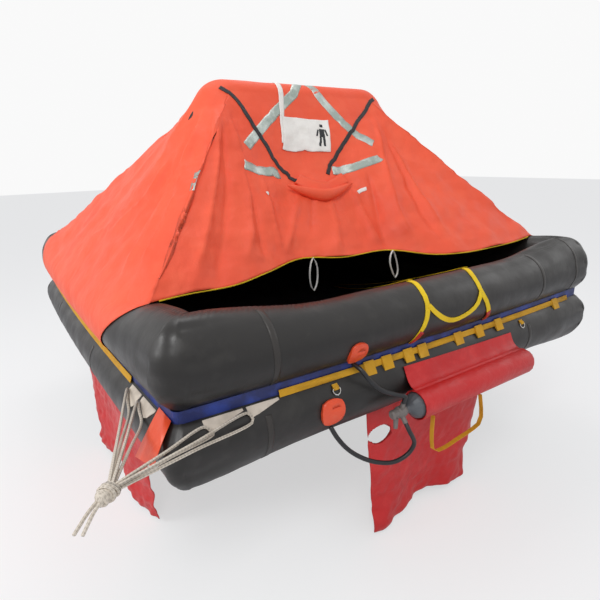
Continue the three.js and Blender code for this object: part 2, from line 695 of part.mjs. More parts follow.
function ringTab({ x, degrees }) {
  const f = ringFrame(x, degrees);
  const outer = D_HOLE_R + D_TAB_WALL;
  const shape = new THREE.Shape();
  shape.absarc(0, 0, outer, -Math.PI / 2, Math.PI / 2, false);
  shape.lineTo(-4, outer);
  shape.lineTo(-14, -outer + 2 * D_TAB_WALL);
  shape.lineTo(-D_TAB_TAIL, -outer + 2 * D_TAB_WALL);
  shape.lineTo(-D_TAB_TAIL, -outer);
  const hole = new THREE.Path();
  hole.absarc(0, 0, D_HOLE_R, 0, 2 * Math.PI, true);
  shape.holes.push(hole);
  const g = new THREE.ExtrudeGeometry(shape, { depth: D_TAB_WIDTH, bevelEnabled: false, curveSegments: 10 });
  g.translate(0, 0, -D_TAB_WIDTH / 2);
  const basis = new THREE.Matrix4().makeBasis(f.down, f.radial, v3(1, 0, 0).multiplyScalar(-1));
  const m = basis.determinant() > 0 ? basis : new THREE.Matrix4().makeBasis(f.down, f.radial, v3(1, 0, 0));
  g.applyMatrix4(m);
  const pivot = f.axis.clone().addScaledVector(f.radial, RING_PIVOT);
  g.translate(pivot.x, pivot.y, pivot.z);
  // The tube curves away from the flat tail, so the tail's underside is cut to it.
  return cut(g, tubeRing("lower", SEAT_GAP));
}

function dRing({ x, degrees }) {
  const f = ringFrame(x, degrees);
  const pivot = f.axis.clone().addScaledVector(f.radial, RING_PIVOT);
  const lean = 12 * DEG; // the ring leans on the tube
  const down = f.down.clone().multiplyScalar(Math.cos(lean)).addScaledVector(f.radial, -Math.sin(lean));
  const half = D_BAR / 2;
  const outline = [[-half * 0.9, 0], [0, 0], [half * 0.9, 0]];
  for (const a of [-8, 20, 50, 90, 130, 160, 188]) {
    outline.push([half * 1.02 * Math.cos(a * DEG), D_REACH * (0.14 + 0.86 * Math.sin(Math.max(4, a < 90 ? a : 180 - a) * DEG))]);
  }
  const face = down.clone().cross(v3(1, 0, 0)).normalize();
  const centre = outline.map(([w, d]) => pivot.clone().add(v3(w, 0, 0)).addScaledVector(down, d));
  const n = centre.length;
  const loops = centre.map((p, i) => {
    const ahead = centre[(i + 1) % n].clone().sub(p).normalize();
    const behind = p.clone().sub(centre[(i + n - 1) % n]).normalize();
    const along = ahead.clone().add(behind).normalize();
    const side = along.clone().cross(face).normalize();
    const widen = 1 / Math.max(0.5, Math.sqrt((1 + ahead.dot(behind)) / 2));
    return Array.from({ length: 8 }, (_, k) => {
      const a = (k * Math.PI) / 4;
      return p
        .clone()
        .addScaledVector(side, D_ROD_R * widen * Math.cos(a))
        .addScaledVector(face, D_ROD_R * Math.sin(a));
    });
  });
  return loft(loops, true);
}

// The towing bridle at the near corner

// Each patch: its side of the raft, its ends along the seam, the place of its lower point, and the
// angles of the seam edge and of the point round the lower tube.
const BRIDLE = [
  { side: SIDES.left, seam: [862, 968], tip: 952, high: 51, low: 22 },
  { side: SIDES.left, seam: [985, 1112], tip: 1078, high: 51, low: 28 },
  { side: SIDES.front, seam: [-1128, -985], tip: -1106, high: 51, low: 33 },
  { side: SIDES.front, seam: [-972, -846], tip: -966, high: 51, low: 32 },
];
const BRIDLE_PATCH_THICK = 2.4;
const ROPE_ON_PATCH = TUBE_R + 2 * SEAT_GAP + 0.6 + BRIDLE_PATCH_THICK + ROPE_R;
const KNOT = v3(-1474, -1424, 204);
const ROPE_MEET = v3(-1438, -1399, 209);
const KNOT_END = 1.3; // how far the knot reaches, as a share of the way from where the ropes meet to its middle

function patchPoint(patch, along, degrees, r) {
  return besideSide(patch.side, along, r * Math.cos(degrees * DEG), LOWER_Z + r * Math.sin(degrees * DEG));
}

// The rope's way through the sleeve: the seam corner furthest from the raft's corner, the middle, and
// the lower point.
function sleeveEnds(patch) {
  const high = [patch.seam[0], patch.high - 10];
  const low = [patch.tip, patch.low - 3];
  return [0, 0.5, 1].map((t) => patchPoint(patch, mix(high[0], low[0], t), mix(high[1], low[1], t), ROPE_ON_PATCH));
}

function bridlePatch(patch) {
  const r = TUBE_R + SEAT_GAP + 0.35;
  const outline = (i) => {
    const t = i / 5;
    const top = mix(patch.seam[0], patch.seam[1], t);
    const low = mix(patch.seam[0], patch.tip, Math.min(1, t * 2.2));
    return [top, low, t];
  };
  const rows = [];
  for (let i = 0; i <= 5; i++) {
    const [top, low, t] = outline(i);
    const drop = mix(patch.high - 9, patch.low, Math.min(1, t * 2.2));
    const end = t * 2.2 > 1 ? mix(patch.low, patch.high - 4, (t * 2.2 - 1) / 1.2) : drop;
    const across = t * 2.2 > 1 ? mix(patch.tip, patch.seam[1], (t * 2.2 - 1) / 1.2) : low;
    rows.push(
      [0, 0.25, 0.5, 0.75, 1].map((w) => patchPoint(patch, mix(top, across, w), mix(patch.high, end, w), r)),
    );
  }
  return sheet(rows, BRIDLE_PATCH_THICK);
}

// One rope: from the knot to one end of the sleeve, through it, and back to the knot. The eight legs
// meet in a bundle four wide and two high, in the order in which they fan out.
function bridleRope(patch, index) {
  const [a, middle, b] = sleeveEnds(patch);
  const across = v3(-0.67, 0.74, 0).multiplyScalar((1.5 - index) * (2 * ROPE_R + 0.4));
  const first = ROPE_MEET.clone().add(across).add(v3(0, 0, ROPE_R + 0.4));
  const last = ROPE_MEET.clone().add(across).add(v3(0, 0, -ROPE_R - 0.4));
  const points = [
    first,
    first.clone().lerp(a, 0.5),
    a,
    middle,
    b,
    last.clone().lerp(b, 0.5),
    last,
  ];
  return cordAlong(points, ROPE_R, 16, 6);
}

function bridleKnot() {
  const loops = [];
  const along = KNOT.clone().sub(ROPE_MEET).normalize();
  const side = along.clone().cross(v3(0, 0, 1)).normalize();
  const up = side.clone().cross(along);
  const length = KNOT.distanceTo(ROPE_MEET);
  for (const [t, r] of [[0.1, 25], [0.36, 29], [0.7, 29], [1.05, 24], [KNOT_END, 14]]) {
    loops.push(
      Array.from({ length: 12 }, (_, i) => {
        const a = (i * Math.PI) / 6;
        const bulge = r * (1 + 0.12 * Math.cos(3 * a + 2 * t));
        return ROPE_MEET.clone()
          .addScaledVector(along, t * length + 2)
          .addScaledVector(side, bulge * Math.cos(a))
          .addScaledVector(up, bulge * Math.sin(a));
      }),
    );
  }
  return loft(loops);
}

// The two rope ends that come out of the knot.
function bridleTail(index) {
  const along = KNOT.clone().sub(ROPE_MEET).normalize();
  const aside = along.clone().cross(v3(0, 0, 1)).normalize();
  const from = ROPE_MEET.clone().addScaledVector(along, KNOT_END * KNOT.distanceTo(ROPE_MEET) + 3.4 + SEAT_GAP);
  const lean = index === 0 ? -1 : 1;
  return cordAlong(
    [
      from.clone().addScaledVector(aside, lean * (ROPE_R + 0.4)),
      from.clone().addScaledVector(aside, lean * 8).addScaledVector(along, 30).add(v3(0, 0, -8)),
      from.clone().addScaledVector(aside, lean * 15).addScaledVector(along, 74).add(v3(0, 0, -30 - lean * 4)),
    ],
    ROPE_R,
    10,
    6,
  );
}

const TAG_THICK = 2;

// A point beyond the tubes' axis lines at the bridle corner.
const cornerPoint = (beyondX, beyondY, z) => v3(-HALF_X - beyondX, -HALF_Y - beyondY, z);

// The orange tag that hangs from the seam at the corner.
function bridleTag() {
  const corners = [cornerPoint(77, -55, 248), cornerPoint(77, 58, 250), cornerPoint(164, 120, 150),
    cornerPoint(180, -30, 112)];
  return sheetOf(
    (u, v) => {
      const top = corners[0].clone().lerp(corners[1], u);
      const low = corners[3].clone().lerp(corners[2], u);
      const bend = 7 * Math.sin(Math.PI * v);
      return top.lerp(low, v).add(v3(-bend - TAG_THICK, -bend, 0));
    },
    3,
    3,
    -TAG_THICK,
  );
}

// Inflation fittings on the front

const VALVE_UPPER = { x: -519, degrees: -26, ring: "upper" };
const VALVE_LOWER = { x: -645, degrees: 1, ring: "lower" };

// A moulded cover over a valve: a round-cornered pad that follows the tube, with a lipped slot.
function valveCover({ x, degrees, ring }, width, height, thick) {
  const side = SIDES.front;
  const place = (u, v) => {
    const a = 2 * u - 1;
    const b = 2 * v - 1;
    const w = (width / 2) * a * Math.sqrt(1 - (b * b) / 2.6);
    const h = (height / 2) * b * Math.sqrt(1 - (a * a) / 2.6);
    return onTube(ring, side, x + w, degrees + h / TUBE_R / DEG, SEAT_GAP - 0.1);
  };
  const pad = sheetOf(place, 6, 6, thick);
  const c = onTube(ring, side, x + width * 0.12, degrees + (height * 0.16) / TUBE_R / DEG, thick);
  const slot = new THREE.BoxGeometry(width * 0.36, thick * 1.4, 7);
  slot.rotateX(-degrees * DEG).translate(c.x, c.y, c.z);
  return cut(pad, slot);
}

// Gas cylinder, lying along X against the lower tube, in its pouch.
const POUCH_R = CYLINDER_R + POUCH_GAP + POUCH_WALL;
const CYLINDER_Y =
  besideSide(SIDES.front, CYLINDER_X, 0, 0).y -
  Math.sqrt((TUBE_R + POUCH_R + 6) ** 2 - (LOWER_Z - CYLINDER_Z) ** 2);
const CYLINDER_FROM = CYLINDER_X - CYLINDER_LENGTH / 2;
const CYLINDER_TO = CYLINDER_X + CYLINDER_LENGTH / 2;

const alongX = (g) => g.rotateZ(-Math.PI / 2);

function gasCylinder() {
  const r = CYLINDER_R;
  const profile = [[0, CYLINDER_FROM], [16, CYLINDER_FROM], [17, CYLINDER_FROM + 18], [r * 0.55, CYLINDER_FROM + 30],
    [r * 0.85, CYLINDER_FROM + 48], [r, CYLINDER_FROM + 78], [r, CYLINDER_TO - 50], [r * 0.85, CYLINDER_TO - 20],
    [r * 0.5, CYLINDER_TO - 4], [0, CYLINDER_TO]];
  const g = new THREE.LatheGeometry(profile.map(([x, y]) => new THREE.Vector2(x, y)), 16);
  return alongX(g).translate(0, CYLINDER_Y, CYLINDER_Z);
}

const SPIGOT_UP = 108; // the hoses' directions round the head, from inwards over the top
const SPIGOT_DOWN = 230;
const SPIGOT_REACH = 49;
const SPIGOT_BACK = 24;

// The operating head on the cylinder's neck, with a spigot for each hose and the firing barrel below.
function cylinderHead() {
  const end = CYLINDER_FROM - SEAT_GAP;
  const profile = [[0, -HEAD_LENGTH], [13, -HEAD_LENGTH], [19, -HEAD_LENGTH + 6], [19, -40], [24, -36],
    [24, -8], [20, 0], [0, 0]];
  const body = alongX(new THREE.LatheGeometry(profile.map(([x, y]) => new THREE.Vector2(x, y)), 16));
  const spigot = (turn) => {
    const g = new THREE.CylinderGeometry(HOSE_R + 1, HOSE_R + 1, 34, 12);
    return g.translate(0, SPIGOT_REACH - 17, 0).rotateX(turn * DEG).translate(-SPIGOT_BACK, 0, 0);
  };
  const barrel = new THREE.CylinderGeometry(11, 9, 46, 12).rotateX(Math.PI / 2).translate(-52, -4, -38);
  const g = join(body, spigot(SPIGOT_UP), spigot(SPIGOT_DOWN), barrel);
  return g.translate(end, CYLINDER_Y, CYLINDER_Z);
}

// The pouch wraps the cylinder, closed at its far end, and its flap goes up over the tube's front.
function cylinderPouch() {
  const inner = POUCH_R - POUCH_WALL;
  const sections = [[-0.5, 1], [0.5, 1]];
  const x0 = CYLINDER_FROM + 60;
  const x1 = CYLINDER_TO + 34;
  const ringAt = (x, r, squash) =>
    Array.from({ length: 16 }, (_, i) => {
      const a = (i * Math.PI) / 8;
      return v3(x, CYLINDER_Y + r * squash * Math.cos(a), CYLINDER_Z + r * Math.sin(a));
    });
  const outer = loft([ringAt(x0, POUCH_R, 1), ringAt(mix(x0, x1, 0.5), POUCH_R, 1), ringAt(x1 - 24, POUCH_R, 1),
    ringAt(x1, POUCH_R * 0.8, 1)]);
  const hollow = loft(sections.map(([s]) => ringAt(s < 0 ? x0 - 5 : x1 - 30, inner, 1)));
  const shell = cut(outer, hollow);
  const side = SIDES.front;
  const flapGrid = (u, v) => {
    const x = mix(x0 + 6, x1 - 34, u);
    const a = mix(96, 150, v) * DEG; // round the pouch's back and up to the tube's front
    const low = v3(x, CYLINDER_Y - (POUCH_R - 2) * Math.cos(a), CYLINDER_Z + (POUCH_R - 2) * Math.sin(a));
    const high = onTube("lower", side, x, mix(8, mix(34, 26, u), v), 3);
    return low.lerp(high, smooth(v));
  };
  return join(shell, sheetOf((u, v) => flapGrid(u, v), 6, 6, 2.5));
}

// A point past a spigot's end, so that a hose comes straight off it.
function spigotPoint(turn, past) {
  const reach = SPIGOT_REACH + past;
  return v3(
    CYLINDER_FROM - SEAT_GAP - SPIGOT_BACK,
    CYLINDER_Y + reach * Math.cos(turn * DEG),
    CYLINDER_Z + reach * Math.sin(turn * DEG),
  );
}

// A point that far before the front tubes' foremost line.
const beforeFront = (x, before, z) => v3(x, -(HALF_Y + FRONT_BOW + TUBE_R + before), z);

// The hose from the upper ring's valve runs down over the seam to the head.
const UPPER_HOSE = [
  onTube("upper", SIDES.front, -516, -50.7, 12),
  beforeFront(-505, -5, 258),
  beforeFront(-486, 10, 226),
  beforeFront(-462, 20, 196),
  beforeFront(-430, 35, 168),
  beforeFront(-392, 60, 152),
  spigotPoint(SPIGOT_UP, 30),
  spigotPoint(SPIGOT_UP, 12),
  spigotPoint(SPIGOT_UP, SEAT_GAP),
];

// The hose from the lower ring's valve hangs in a loop before it turns up to the head.
const LOWER_HOSE = [
  onTube("lower", SIDES.front, -652, -26, 11),
  beforeFront(-640, 12, 30),
  beforeFront(-604, 32, -24),
  beforeFront(-548, 52, -74),
  beforeFront(-480, 70, -112),
  beforeFront(-410, 88, -128),
  beforeFront(-350, 102, -108),
  beforeFront(-325, 110, -66),
  spigotPoint(SPIGOT_DOWN, 32),
  spigotPoint(SPIGOT_DOWN, 14),
  spigotPoint(SPIGOT_DOWN, SEAT_GAP),
];

// A webbing loop under the pouch, to step on.
function stepLoop() {
  const y = CYLINDER_Y - 6;
  const pts = [v3(-186, y - 20, CYLINDER_Z - POUCH_R + 2), v3(-190, y - 22, -90), v3(-176, y - 24, -168), v3(-120, y - 24, -182),
    v3(-20, y - 24, -172), v3(90, y - 24, -158), v3(136, y - 24, -140), v3(140, y - 22, -90), v3(122, y - 20, CYLINDER_Z - POUCH_R + 2)];
  const curve = new THREE.CatmullRomCurve3(pts, false, "centripetal");
  const n = 16;
  return strap(
    Array.from({ length: n + 1 }, (_, i) => {
      const t = i / n;
      const tangent = curve.getTangentAt(t);
      return { p: curve.getPointAt(t), across: v3(0, 1, 0), face: v3(0, 1, 0).cross(tangent).normalize() };
    }),
    20,
    2.5,
  );
}

// Boarding ladder: two straps over the front upper tube and a U rung between them.
const LADDER_A = [[101, -112], [84, -118], [64, -132], [30, -146], [0, -168], [-30, -197], [-50, -204]];
const LADDER_B = [[101, 262], [84, 240], [64, 215], [30, 203], [0, 236], [-30, 276], [-50, 285]];
const RUNG = [[26, -140], [14, -118], [-4, -60], [-14, 10], [-10, 90], [4, 160], [26, 200]];

function strapOnTube(points, width, lift) {
  const angles = points.map(([deg]) => deg);
  const curve = new THREE.CatmullRomCurve3(points.map(([deg, x]) => v3(x, deg, 0)), false, "centripetal");
  const n = angles.length * 2;
  const stations = [];
  const spot = (t) => {
    const q = curve.getPoint(t);
    return onTube("upper", SIDES.front, q.x, q.y, SEAT_GAP + lift);
  };
  for (let i = 0; i <= n; i++) {
    const t = i / n;
    const q = curve.getPoint(t);
    const tangent = spot(Math.min(1, t + 0.02)).sub(spot(Math.max(0, t - 0.02))).normalize();
    const face = v3(0, -Math.cos(q.y * DEG), Math.sin(q.y * DEG));
    stations.push({ p: spot(t), across: tangent.clone().cross(face).normalize(), face });
  }
  return strap(stations, width, WEB_THICK);
}

function boardingLadder() {
  return join(
    strapOnTube(LADDER_A, 24, 0.6),
    strapOnTube(LADDER_B, 24, 0.6),
    strapOnTube(RUNG, 22, 2.2),
  );
}

// The ladder's inner straps run from the tube to a patch on the floor.
const FLOOR_PATCH = v3(700, 330, FLOOR_THICK);
function floorPatch() {
  const g = roundedBar(150, 110, 4, 1.5);
  return g.translate(FLOOR_PATCH.x, FLOOR_PATCH.y, FLOOR_PATCH.z + 2 + SEAT_GAP);
}

function innerStrap(x, offset, sag) {
  const from = onTube("upper", SIDES.front, x, 99, SEAT_GAP + 6);
  const to = FLOOR_PATCH.clone().add(v3(offset, offset * 0.4, 4 + 2 * SEAT_GAP));
  const n = 12;
  const dir = to.clone().sub(from).setZ(0).normalize();
  return strap(
    Array.from({ length: n + 1 }, (_, i) => {
      const t = i / n;
      const p = from.clone().lerp(to, t).add(v3(0, 0, -sag * 4 * t * (1 - t)));
      return { p, across: v3(-dir.y, dir.x, 0), face: v3(0, 0, 1) };
    }),
    22,
    2.5,
  );
}

// Ballast pockets

// An empty pocket hangs flat below the lower tube, a little twisted, with a water hole through it.
function ballastPocket(side, middle, width, hole, twist) {
  const place = (u, v) => {
    const along = middle + (u - 0.5) * width * mix(1, 0.84, v);
    const wave = 26 * v * Math.sin(u * 9 + twist) + 16 * v * Math.cos(u * 4 - twist);
    const sway = mix(40, 10, v) + wave;
    const z = mix(0, -POCKET_DROP, v) - 18 * v * Math.cos(u * 5 + twist);
    return besideSide(side, along, sway, z + 12);
  };
  const bag = cut(sheetOf(place, 7, 9, POCKET_THICK), tubeRing("lower", SEAT_GAP));
  if (!hole) return bag;
  const c = besideSide(side, middle + hole.along, 20, hole.z);
  const shape = new THREE.Shape();
  shape.absellipse(0, 0, POCKET_HOLE_W / 2, POCKET_HOLE_H / 2, 0, 2 * Math.PI);
  const g = new THREE.ExtrudeGeometry(shape, { depth: 240, bevelEnabled: false, curveSegments: 7 });
  g.translate(0, 0, -120).rotateX(Math.PI / 2).translate(c.x, c.y, c.z);
  return cut(bag, g);
}

// Colours and finishes

const finish = (color, roughness, metalness = 0) =>
  new THREE.MeshStandardMaterial({ color, roughness, metalness, side: THREE.DoubleSide });
const TUBE_FABRIC = finish(0x1d1916, 0.45);
const FLOOR_FABRIC = finish(0x3a3f4a, 0.6);
const CANOPY_CLOTH = finish(0xf0583a, 0.6);
const RED_CLOTH = finish(0xc4201f, 0.6);
const NAVY = finish(0x14205a, 0.6);
const YELLOW_WEB = finish(0xd9a420, 0.8);
const WHITE_TAPE = finish(0xe9e4da, 0.8);
const ROPE = finish(0xcfc3b4, 0.9);
const PATCH = finish(0xd8cbbb, 0.8);
const TAG = finish(0xe0491f, 0.5);
const RUBBER = finish(0x16161a, 0.5);
const STEEL = finish(0xb8b8b8, 0.3, 1);
const CYLINDER_PAINT = finish(0x5a5d60, 0.4, 0.4);

const raft = new THREE.Group();
function add(name, geometry, material) {
  const mesh = new THREE.Mesh(geometry, material);
  mesh.name = name;
  raft.add(mesh);
}

add("lower_tube", tubeRing("lower"), TUBE_FABRIC);
add("upper_tube", tubeRing("upper"), TUBE_FABRIC);
add("joining_strip", joiningStrip(), NAVY);
add("floor", inflatedFloor(), FLOOR_FABRIC);
add("arch_tube", archTube(), TUBE_FABRIC);
add("arch_cuff_left", archCuff(-1), TUBE_FABRIC);
add("arch_cuff_right", archCuff(1), TUBE_FABRIC);
add("canopy_front", frontPanel(), CANOPY_CLOTH);
add("canopy_back", backPanel(), CANOPY_CLOTH);
add("canopy_left", endPanel(-1), CANOPY_CLOTH);
add("canopy_right", endPanel(1), CANOPY_CLOTH);
add("flap_roll", flapRoll(), CANOPY_CLOTH);
add("notice_panel", noticePanel(), WHITE_TAPE);
add("hem_tie_left", hemTie(0.375, 165, -4), WHITE_TAPE);
add("hem_tie_right", hemTie(0.575, 150, 16), WHITE_TAPE);
add("lifeline_front", frontLifeline(), YELLOW_WEB);
add("lifeline_left", lifeline("left"), YELLOW_WEB);
add("lifeline_right", lifeline("right"), YELLOW_WEB);
add("lifeline_back", lifeline("back"), YELLOW_WEB);
RINGS.forEach((ring, i) => {
  add(`ring_tab_${i + 1}`, ringTab(ring), YELLOW_WEB);
  add(`d_ring_${i + 1}`, dRing(ring), STEEL);
});
BRIDLE.forEach((patch, i) => {
  add(`bridle_patch_${i + 1}`, bridlePatch(patch), PATCH);
  add(`bridle_rope_${i + 1}`, bridleRope(patch, i), ROPE);
});
add("bridle_knot", bridleKnot(), ROPE);
add("bridle_tail_1", bridleTail(0), ROPE);
add("bridle_tail_2", bridleTail(1), ROPE);
add("bridle_tag", bridleTag(), TAG);
add("valve_cover_upper", valveCover(VALVE_UPPER, 84, 96, 12), TAG);
add("valve_cover_lower", valveCover(VALVE_LOWER, 104, 98, 12), TAG);
add("inflation_hose_upper", cordAlong(UPPER_HOSE, HOSE_R, 22), RUBBER);
add("inflation_hose_lower", cordAlong(LOWER_HOSE, HOSE_R, 32), RUBBER);
add("gas_cylinder", gasCylinder(), CYLINDER_PAINT);
add("cylinder_head", cylinderHead(), STEEL);
add("cylinder_pouch", cylinderPouch(), RED_CLOTH);
add("step_loop", stepLoop(), YELLOW_WEB);
add("boarding_ladder", boardingLadder(), YELLOW_WEB);
add("ladder_strap_1", innerStrap(-108, -40, 30), YELLOW_WEB);
add("ladder_strap_2", innerStrap(268, 30, 30), YELLOW_WEB);
add("floor_patch", floorPatch(), YELLOW_WEB);
add("pocket_front", ballastPocket(SIDES.front, 0, FRONT_POCKET_WIDTH, { along: -323, z: -125 }, 0.4), RED_CLOTH);
add("pocket_left", ballastPocket(SIDES.left, 150, END_POCKET_WIDTH, null, 1.3), RED_CLOTH);
add("pocket_right", ballastPocket(SIDES.right, 0, END_POCKET_WIDTH, null, 2.2), RED_CLOTH);
add("pocket_back", ballastPocket(SIDES.back, 0, FRONT_POCKET_WIDTH, null, 3.1), RED_CLOTH);

export default raft;
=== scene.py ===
"""Looks of an inflated liferaft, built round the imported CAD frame.

Sizes inside the formulas are in millimetres, as in the part's own source, and every mesh is made in
metres. The origin is the centre of the floor's underside, the entrance faces -Y and +Z is up.
"""

from __future__ import annotations

import logging
import math
from dataclasses import dataclass, field
from enum import Enum

import bmesh
import bpy
import numpy as np
from mathutils import Matrix, Vector
from mathutils.bvhtree import BVHTree

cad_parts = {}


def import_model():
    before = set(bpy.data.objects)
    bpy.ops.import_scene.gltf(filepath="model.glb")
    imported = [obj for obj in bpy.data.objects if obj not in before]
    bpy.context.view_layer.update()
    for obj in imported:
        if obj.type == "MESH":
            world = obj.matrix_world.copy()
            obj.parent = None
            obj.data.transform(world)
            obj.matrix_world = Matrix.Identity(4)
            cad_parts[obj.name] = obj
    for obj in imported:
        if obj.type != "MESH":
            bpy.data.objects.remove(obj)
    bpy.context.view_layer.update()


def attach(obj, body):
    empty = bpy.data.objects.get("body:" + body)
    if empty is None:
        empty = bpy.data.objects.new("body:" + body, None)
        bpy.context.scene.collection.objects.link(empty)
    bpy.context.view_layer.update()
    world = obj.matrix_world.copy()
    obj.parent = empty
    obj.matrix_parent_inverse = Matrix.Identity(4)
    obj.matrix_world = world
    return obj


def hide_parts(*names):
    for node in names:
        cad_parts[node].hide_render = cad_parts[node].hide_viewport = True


LOG = logging.getLogger("liferaft")
BODY = "raft"
MM = 0.001
DEG = math.pi / 180

Points = np.ndarray
Piece = bpy.types.Object
Socket = bpy.types.NodeSocket

# Sizes that the looks share with the CAD frame, in millimetres
LENGTH = 2540.0
DEPTH = 2620.0
TUBE_R = 130.0
TUBE_PITCH = 258.0
FRONT_BOW = 30.0
END_BOW = 25.0
MITRE_R = 8.0
UPPER_CORNER_ROUND = 92.0
LOWER_CORNER_ROUND = 42.0
CORNER_SWELL = 57.0
CORNER_DROOP = 42.0
CORNER_REACH = 300.0
HALF_X = LENGTH / 2 - TUBE_R
HALF_Y = DEPTH / 2 - TUBE_R
LOWER_Z = TUBE_R
UPPER_Z = TUBE_R + TUBE_PITCH
ARCH_R = 80.0
ARCH_Y = -180.0
ARCH_TOP = 1425.0
ARCH_SHOULDER = 540.0
ARCH_BEND_R = 88.0
ARCH_FOOT_X = HALF_X - 45
LEG_RISE = 907.0
LEG_SLOPE = math.atan2(LEG_RISE, ARCH_FOOT_X + 75 - ARCH_SHOULDER)
ARCH_AXIS_Z = ARCH_TOP - ARCH_R
LEVEL_END = ARCH_SHOULDER - (ARCH_R + ARCH_BEND_R) * math.tan(LEG_SLOPE / 2)
BEND_CENTRE_Z = ARCH_AXIS_Z - ARCH_BEND_R
CYLINDER_Y = -1396.5
CYLINDER_Z = 62.0
ROPE_R = 5.0
HOSE_R = 9.0
DOME = 3.0  # how far the domed end of a cord reaches

# A place inside the raft, that outward normals point away from
MIDDLE = np.array([0, 100.0, 500.0])
# A noise texture of this scale over a size has patches of about that size in millimetres
NOISE_RATE = 500


class Ring(Enum):
    """The two stacked tube rings."""

    LOWER = "lower"
    UPPER = "upper"

    @property
    def z(self) -> float:
        """Height of the tube's axis line."""
        return LOWER_Z if self is Ring.LOWER else UPPER_Z

    @property
    def corner_round(self) -> float:
        """Extra radius of the corners' outer side."""
        return LOWER_CORNER_ROUND if self is Ring.LOWER else UPPER_CORNER_ROUND


@dataclass(frozen=True)
class Side:
    """One straight side of the rings, seen from above."""

    normal: tuple[float, float]
    travel: tuple[float, float]
    half: float
    out: float
    bow: float


FRONT = Side((0, -1), (1, 0), HALF_X, HALF_Y, FRONT_BOW)
RIGHT = Side((1, 0), (0, 1), HALF_Y, HALF_X, END_BOW)
BACK = Side((0, 1), (-1, 0), HALF_X, HALF_Y, FRONT_BOW)
LEFT = Side((-1, 0), (0, -1), HALF_Y, HALF_X, END_BOW)
SIDES = (FRONT, RIGHT, BACK, LEFT)


def corner_radius(outward: Points | float, round_: float) -> Points:
    """Radius of a corner for a line that far outwards of the tube's axis.

    Args:
        outward: Distance outwards of the axis line.
        round_: Extra radius that the outer side has.

    Returns:
        The radius, in the shape of outward.
    """
    return MITRE_R + round_ * np.maximum(0, np.asarray(outward, float) / TUBE_R) ** 1.4


def beside(
    side: Side, along: Points, outward: Points, z: Points, round_: float = LOWER_CORNER_ROUND
) -> Points:
    """Points beside a straight side.

    Args:
        side: The side.
        along: Place along it.
        outward: Distance outwards of the tube's axis line.
        z: Height.
        round_: Extra radius of the ring's corners.

    Returns:
        Points, last axis X, Y, Z.
    """
    along, outward, z = np.broadcast_arrays(*(np.asarray(a, float) for a in (along, outward, z)))
    share = np.minimum(1, np.abs(along) / (side.half + outward - corner_radius(outward, round_)))
    out = side.out + side.bow * (1 - share**2) + outward
    x = side.normal[0] * out + side.travel[0] * along
    y = side.normal[1] * out + side.travel[1] * along
    return np.stack([x, y, z], -1)


def swell(side: Side, share: Points | float) -> Points:
    """How much of the corner swell a place has, from 0 to 1."""
    return np.exp(-((((1 - np.minimum(1, np.abs(share))) * side.half) / CORNER_REACH) ** 2))


def section(ring: Ring, angle: Points, grown: Points, gap: float = 0.0) -> tuple[Points, Points]:
    """Outward and upward reach of a tube's skin.

    Args:
        ring: Upper or lower ring.
        angle: Angle from straight outwards, in radians.
        grown: Share of the corner swell.
        gap: Distance off the skin.

    Returns:
        The two reaches.
    """
    s = np.sin(angle)
    away = s > 0 if ring is Ring.UPPER else s < 0
    more = np.where(away, CORNER_SWELL if ring is Ring.UPPER else CORNER_DROOP, 0.0) * grown
    return (TUBE_R + gap) * np.cos(angle), (TUBE_R + gap + more) * s


def on_tube(ring: Ring, side: Side, along: Points, degrees: Points, gap: float = 0.0) -> Points:
    """Points on a tube's skin, or a gap off it.

    Args:
        ring: Upper or lower ring.
        side: The side of the plan.
        along: Place along the side.
        degrees: Angle round the tube from straight outwards up.
        gap: Distance off the skin.

    Returns:
        Points, last axis X, Y, Z.
    """
    angle = np.asarray(degrees, float) * DEG
    outward = (TUBE_R + gap) * np.cos(angle)
    reach = side.half + outward - corner_radius(outward, ring.corner_round)
    share = np.abs(np.asarray(along, float)) / reach
    _, up = section(ring, angle, swell(side, share), gap)
    return beside(side, along, outward, ring.z + up, ring.corner_round)


def smooth(t: Points | float) -> Points:
    """Smooth step from 0 to 1."""
    t = np.clip(t, 0, 1)
    return t * t * (3 - 2 * t)


def mix(a: Points, b: Points, t: Points) -> Points:
    """Value between a and b."""
    return a + (b - a) * t


def unit(v: Points) -> Points:
    """Vectors of length one."""
    return v / np.maximum(1e-9, np.linalg.norm(v, axis=-1, keepdims=True))


class Noise:
    """Smooth repeatable noise made of sine waves in random directions."""

    def __init__(self, seed: int, wavelength: float, waves: int = 14) -> None:
        rng = np.random.default_rng(seed)
        self.directions = unit(rng.normal(size=(waves, 3)))
        self.rates = 2 * math.pi / (wavelength * rng.uniform(0.7, 1.5, waves))
        self.phases = rng.uniform(0, 2 * math.pi, waves)

    def __call__(self, points: Points) -> Points:
        """Noise at points, about -1 to 1."""
        waves = np.sin((points @ self.directions.T) * self.rates + self.phases)
        return waves.sum(-1) / math.sqrt(len(self.phases) / 2) / 1.6


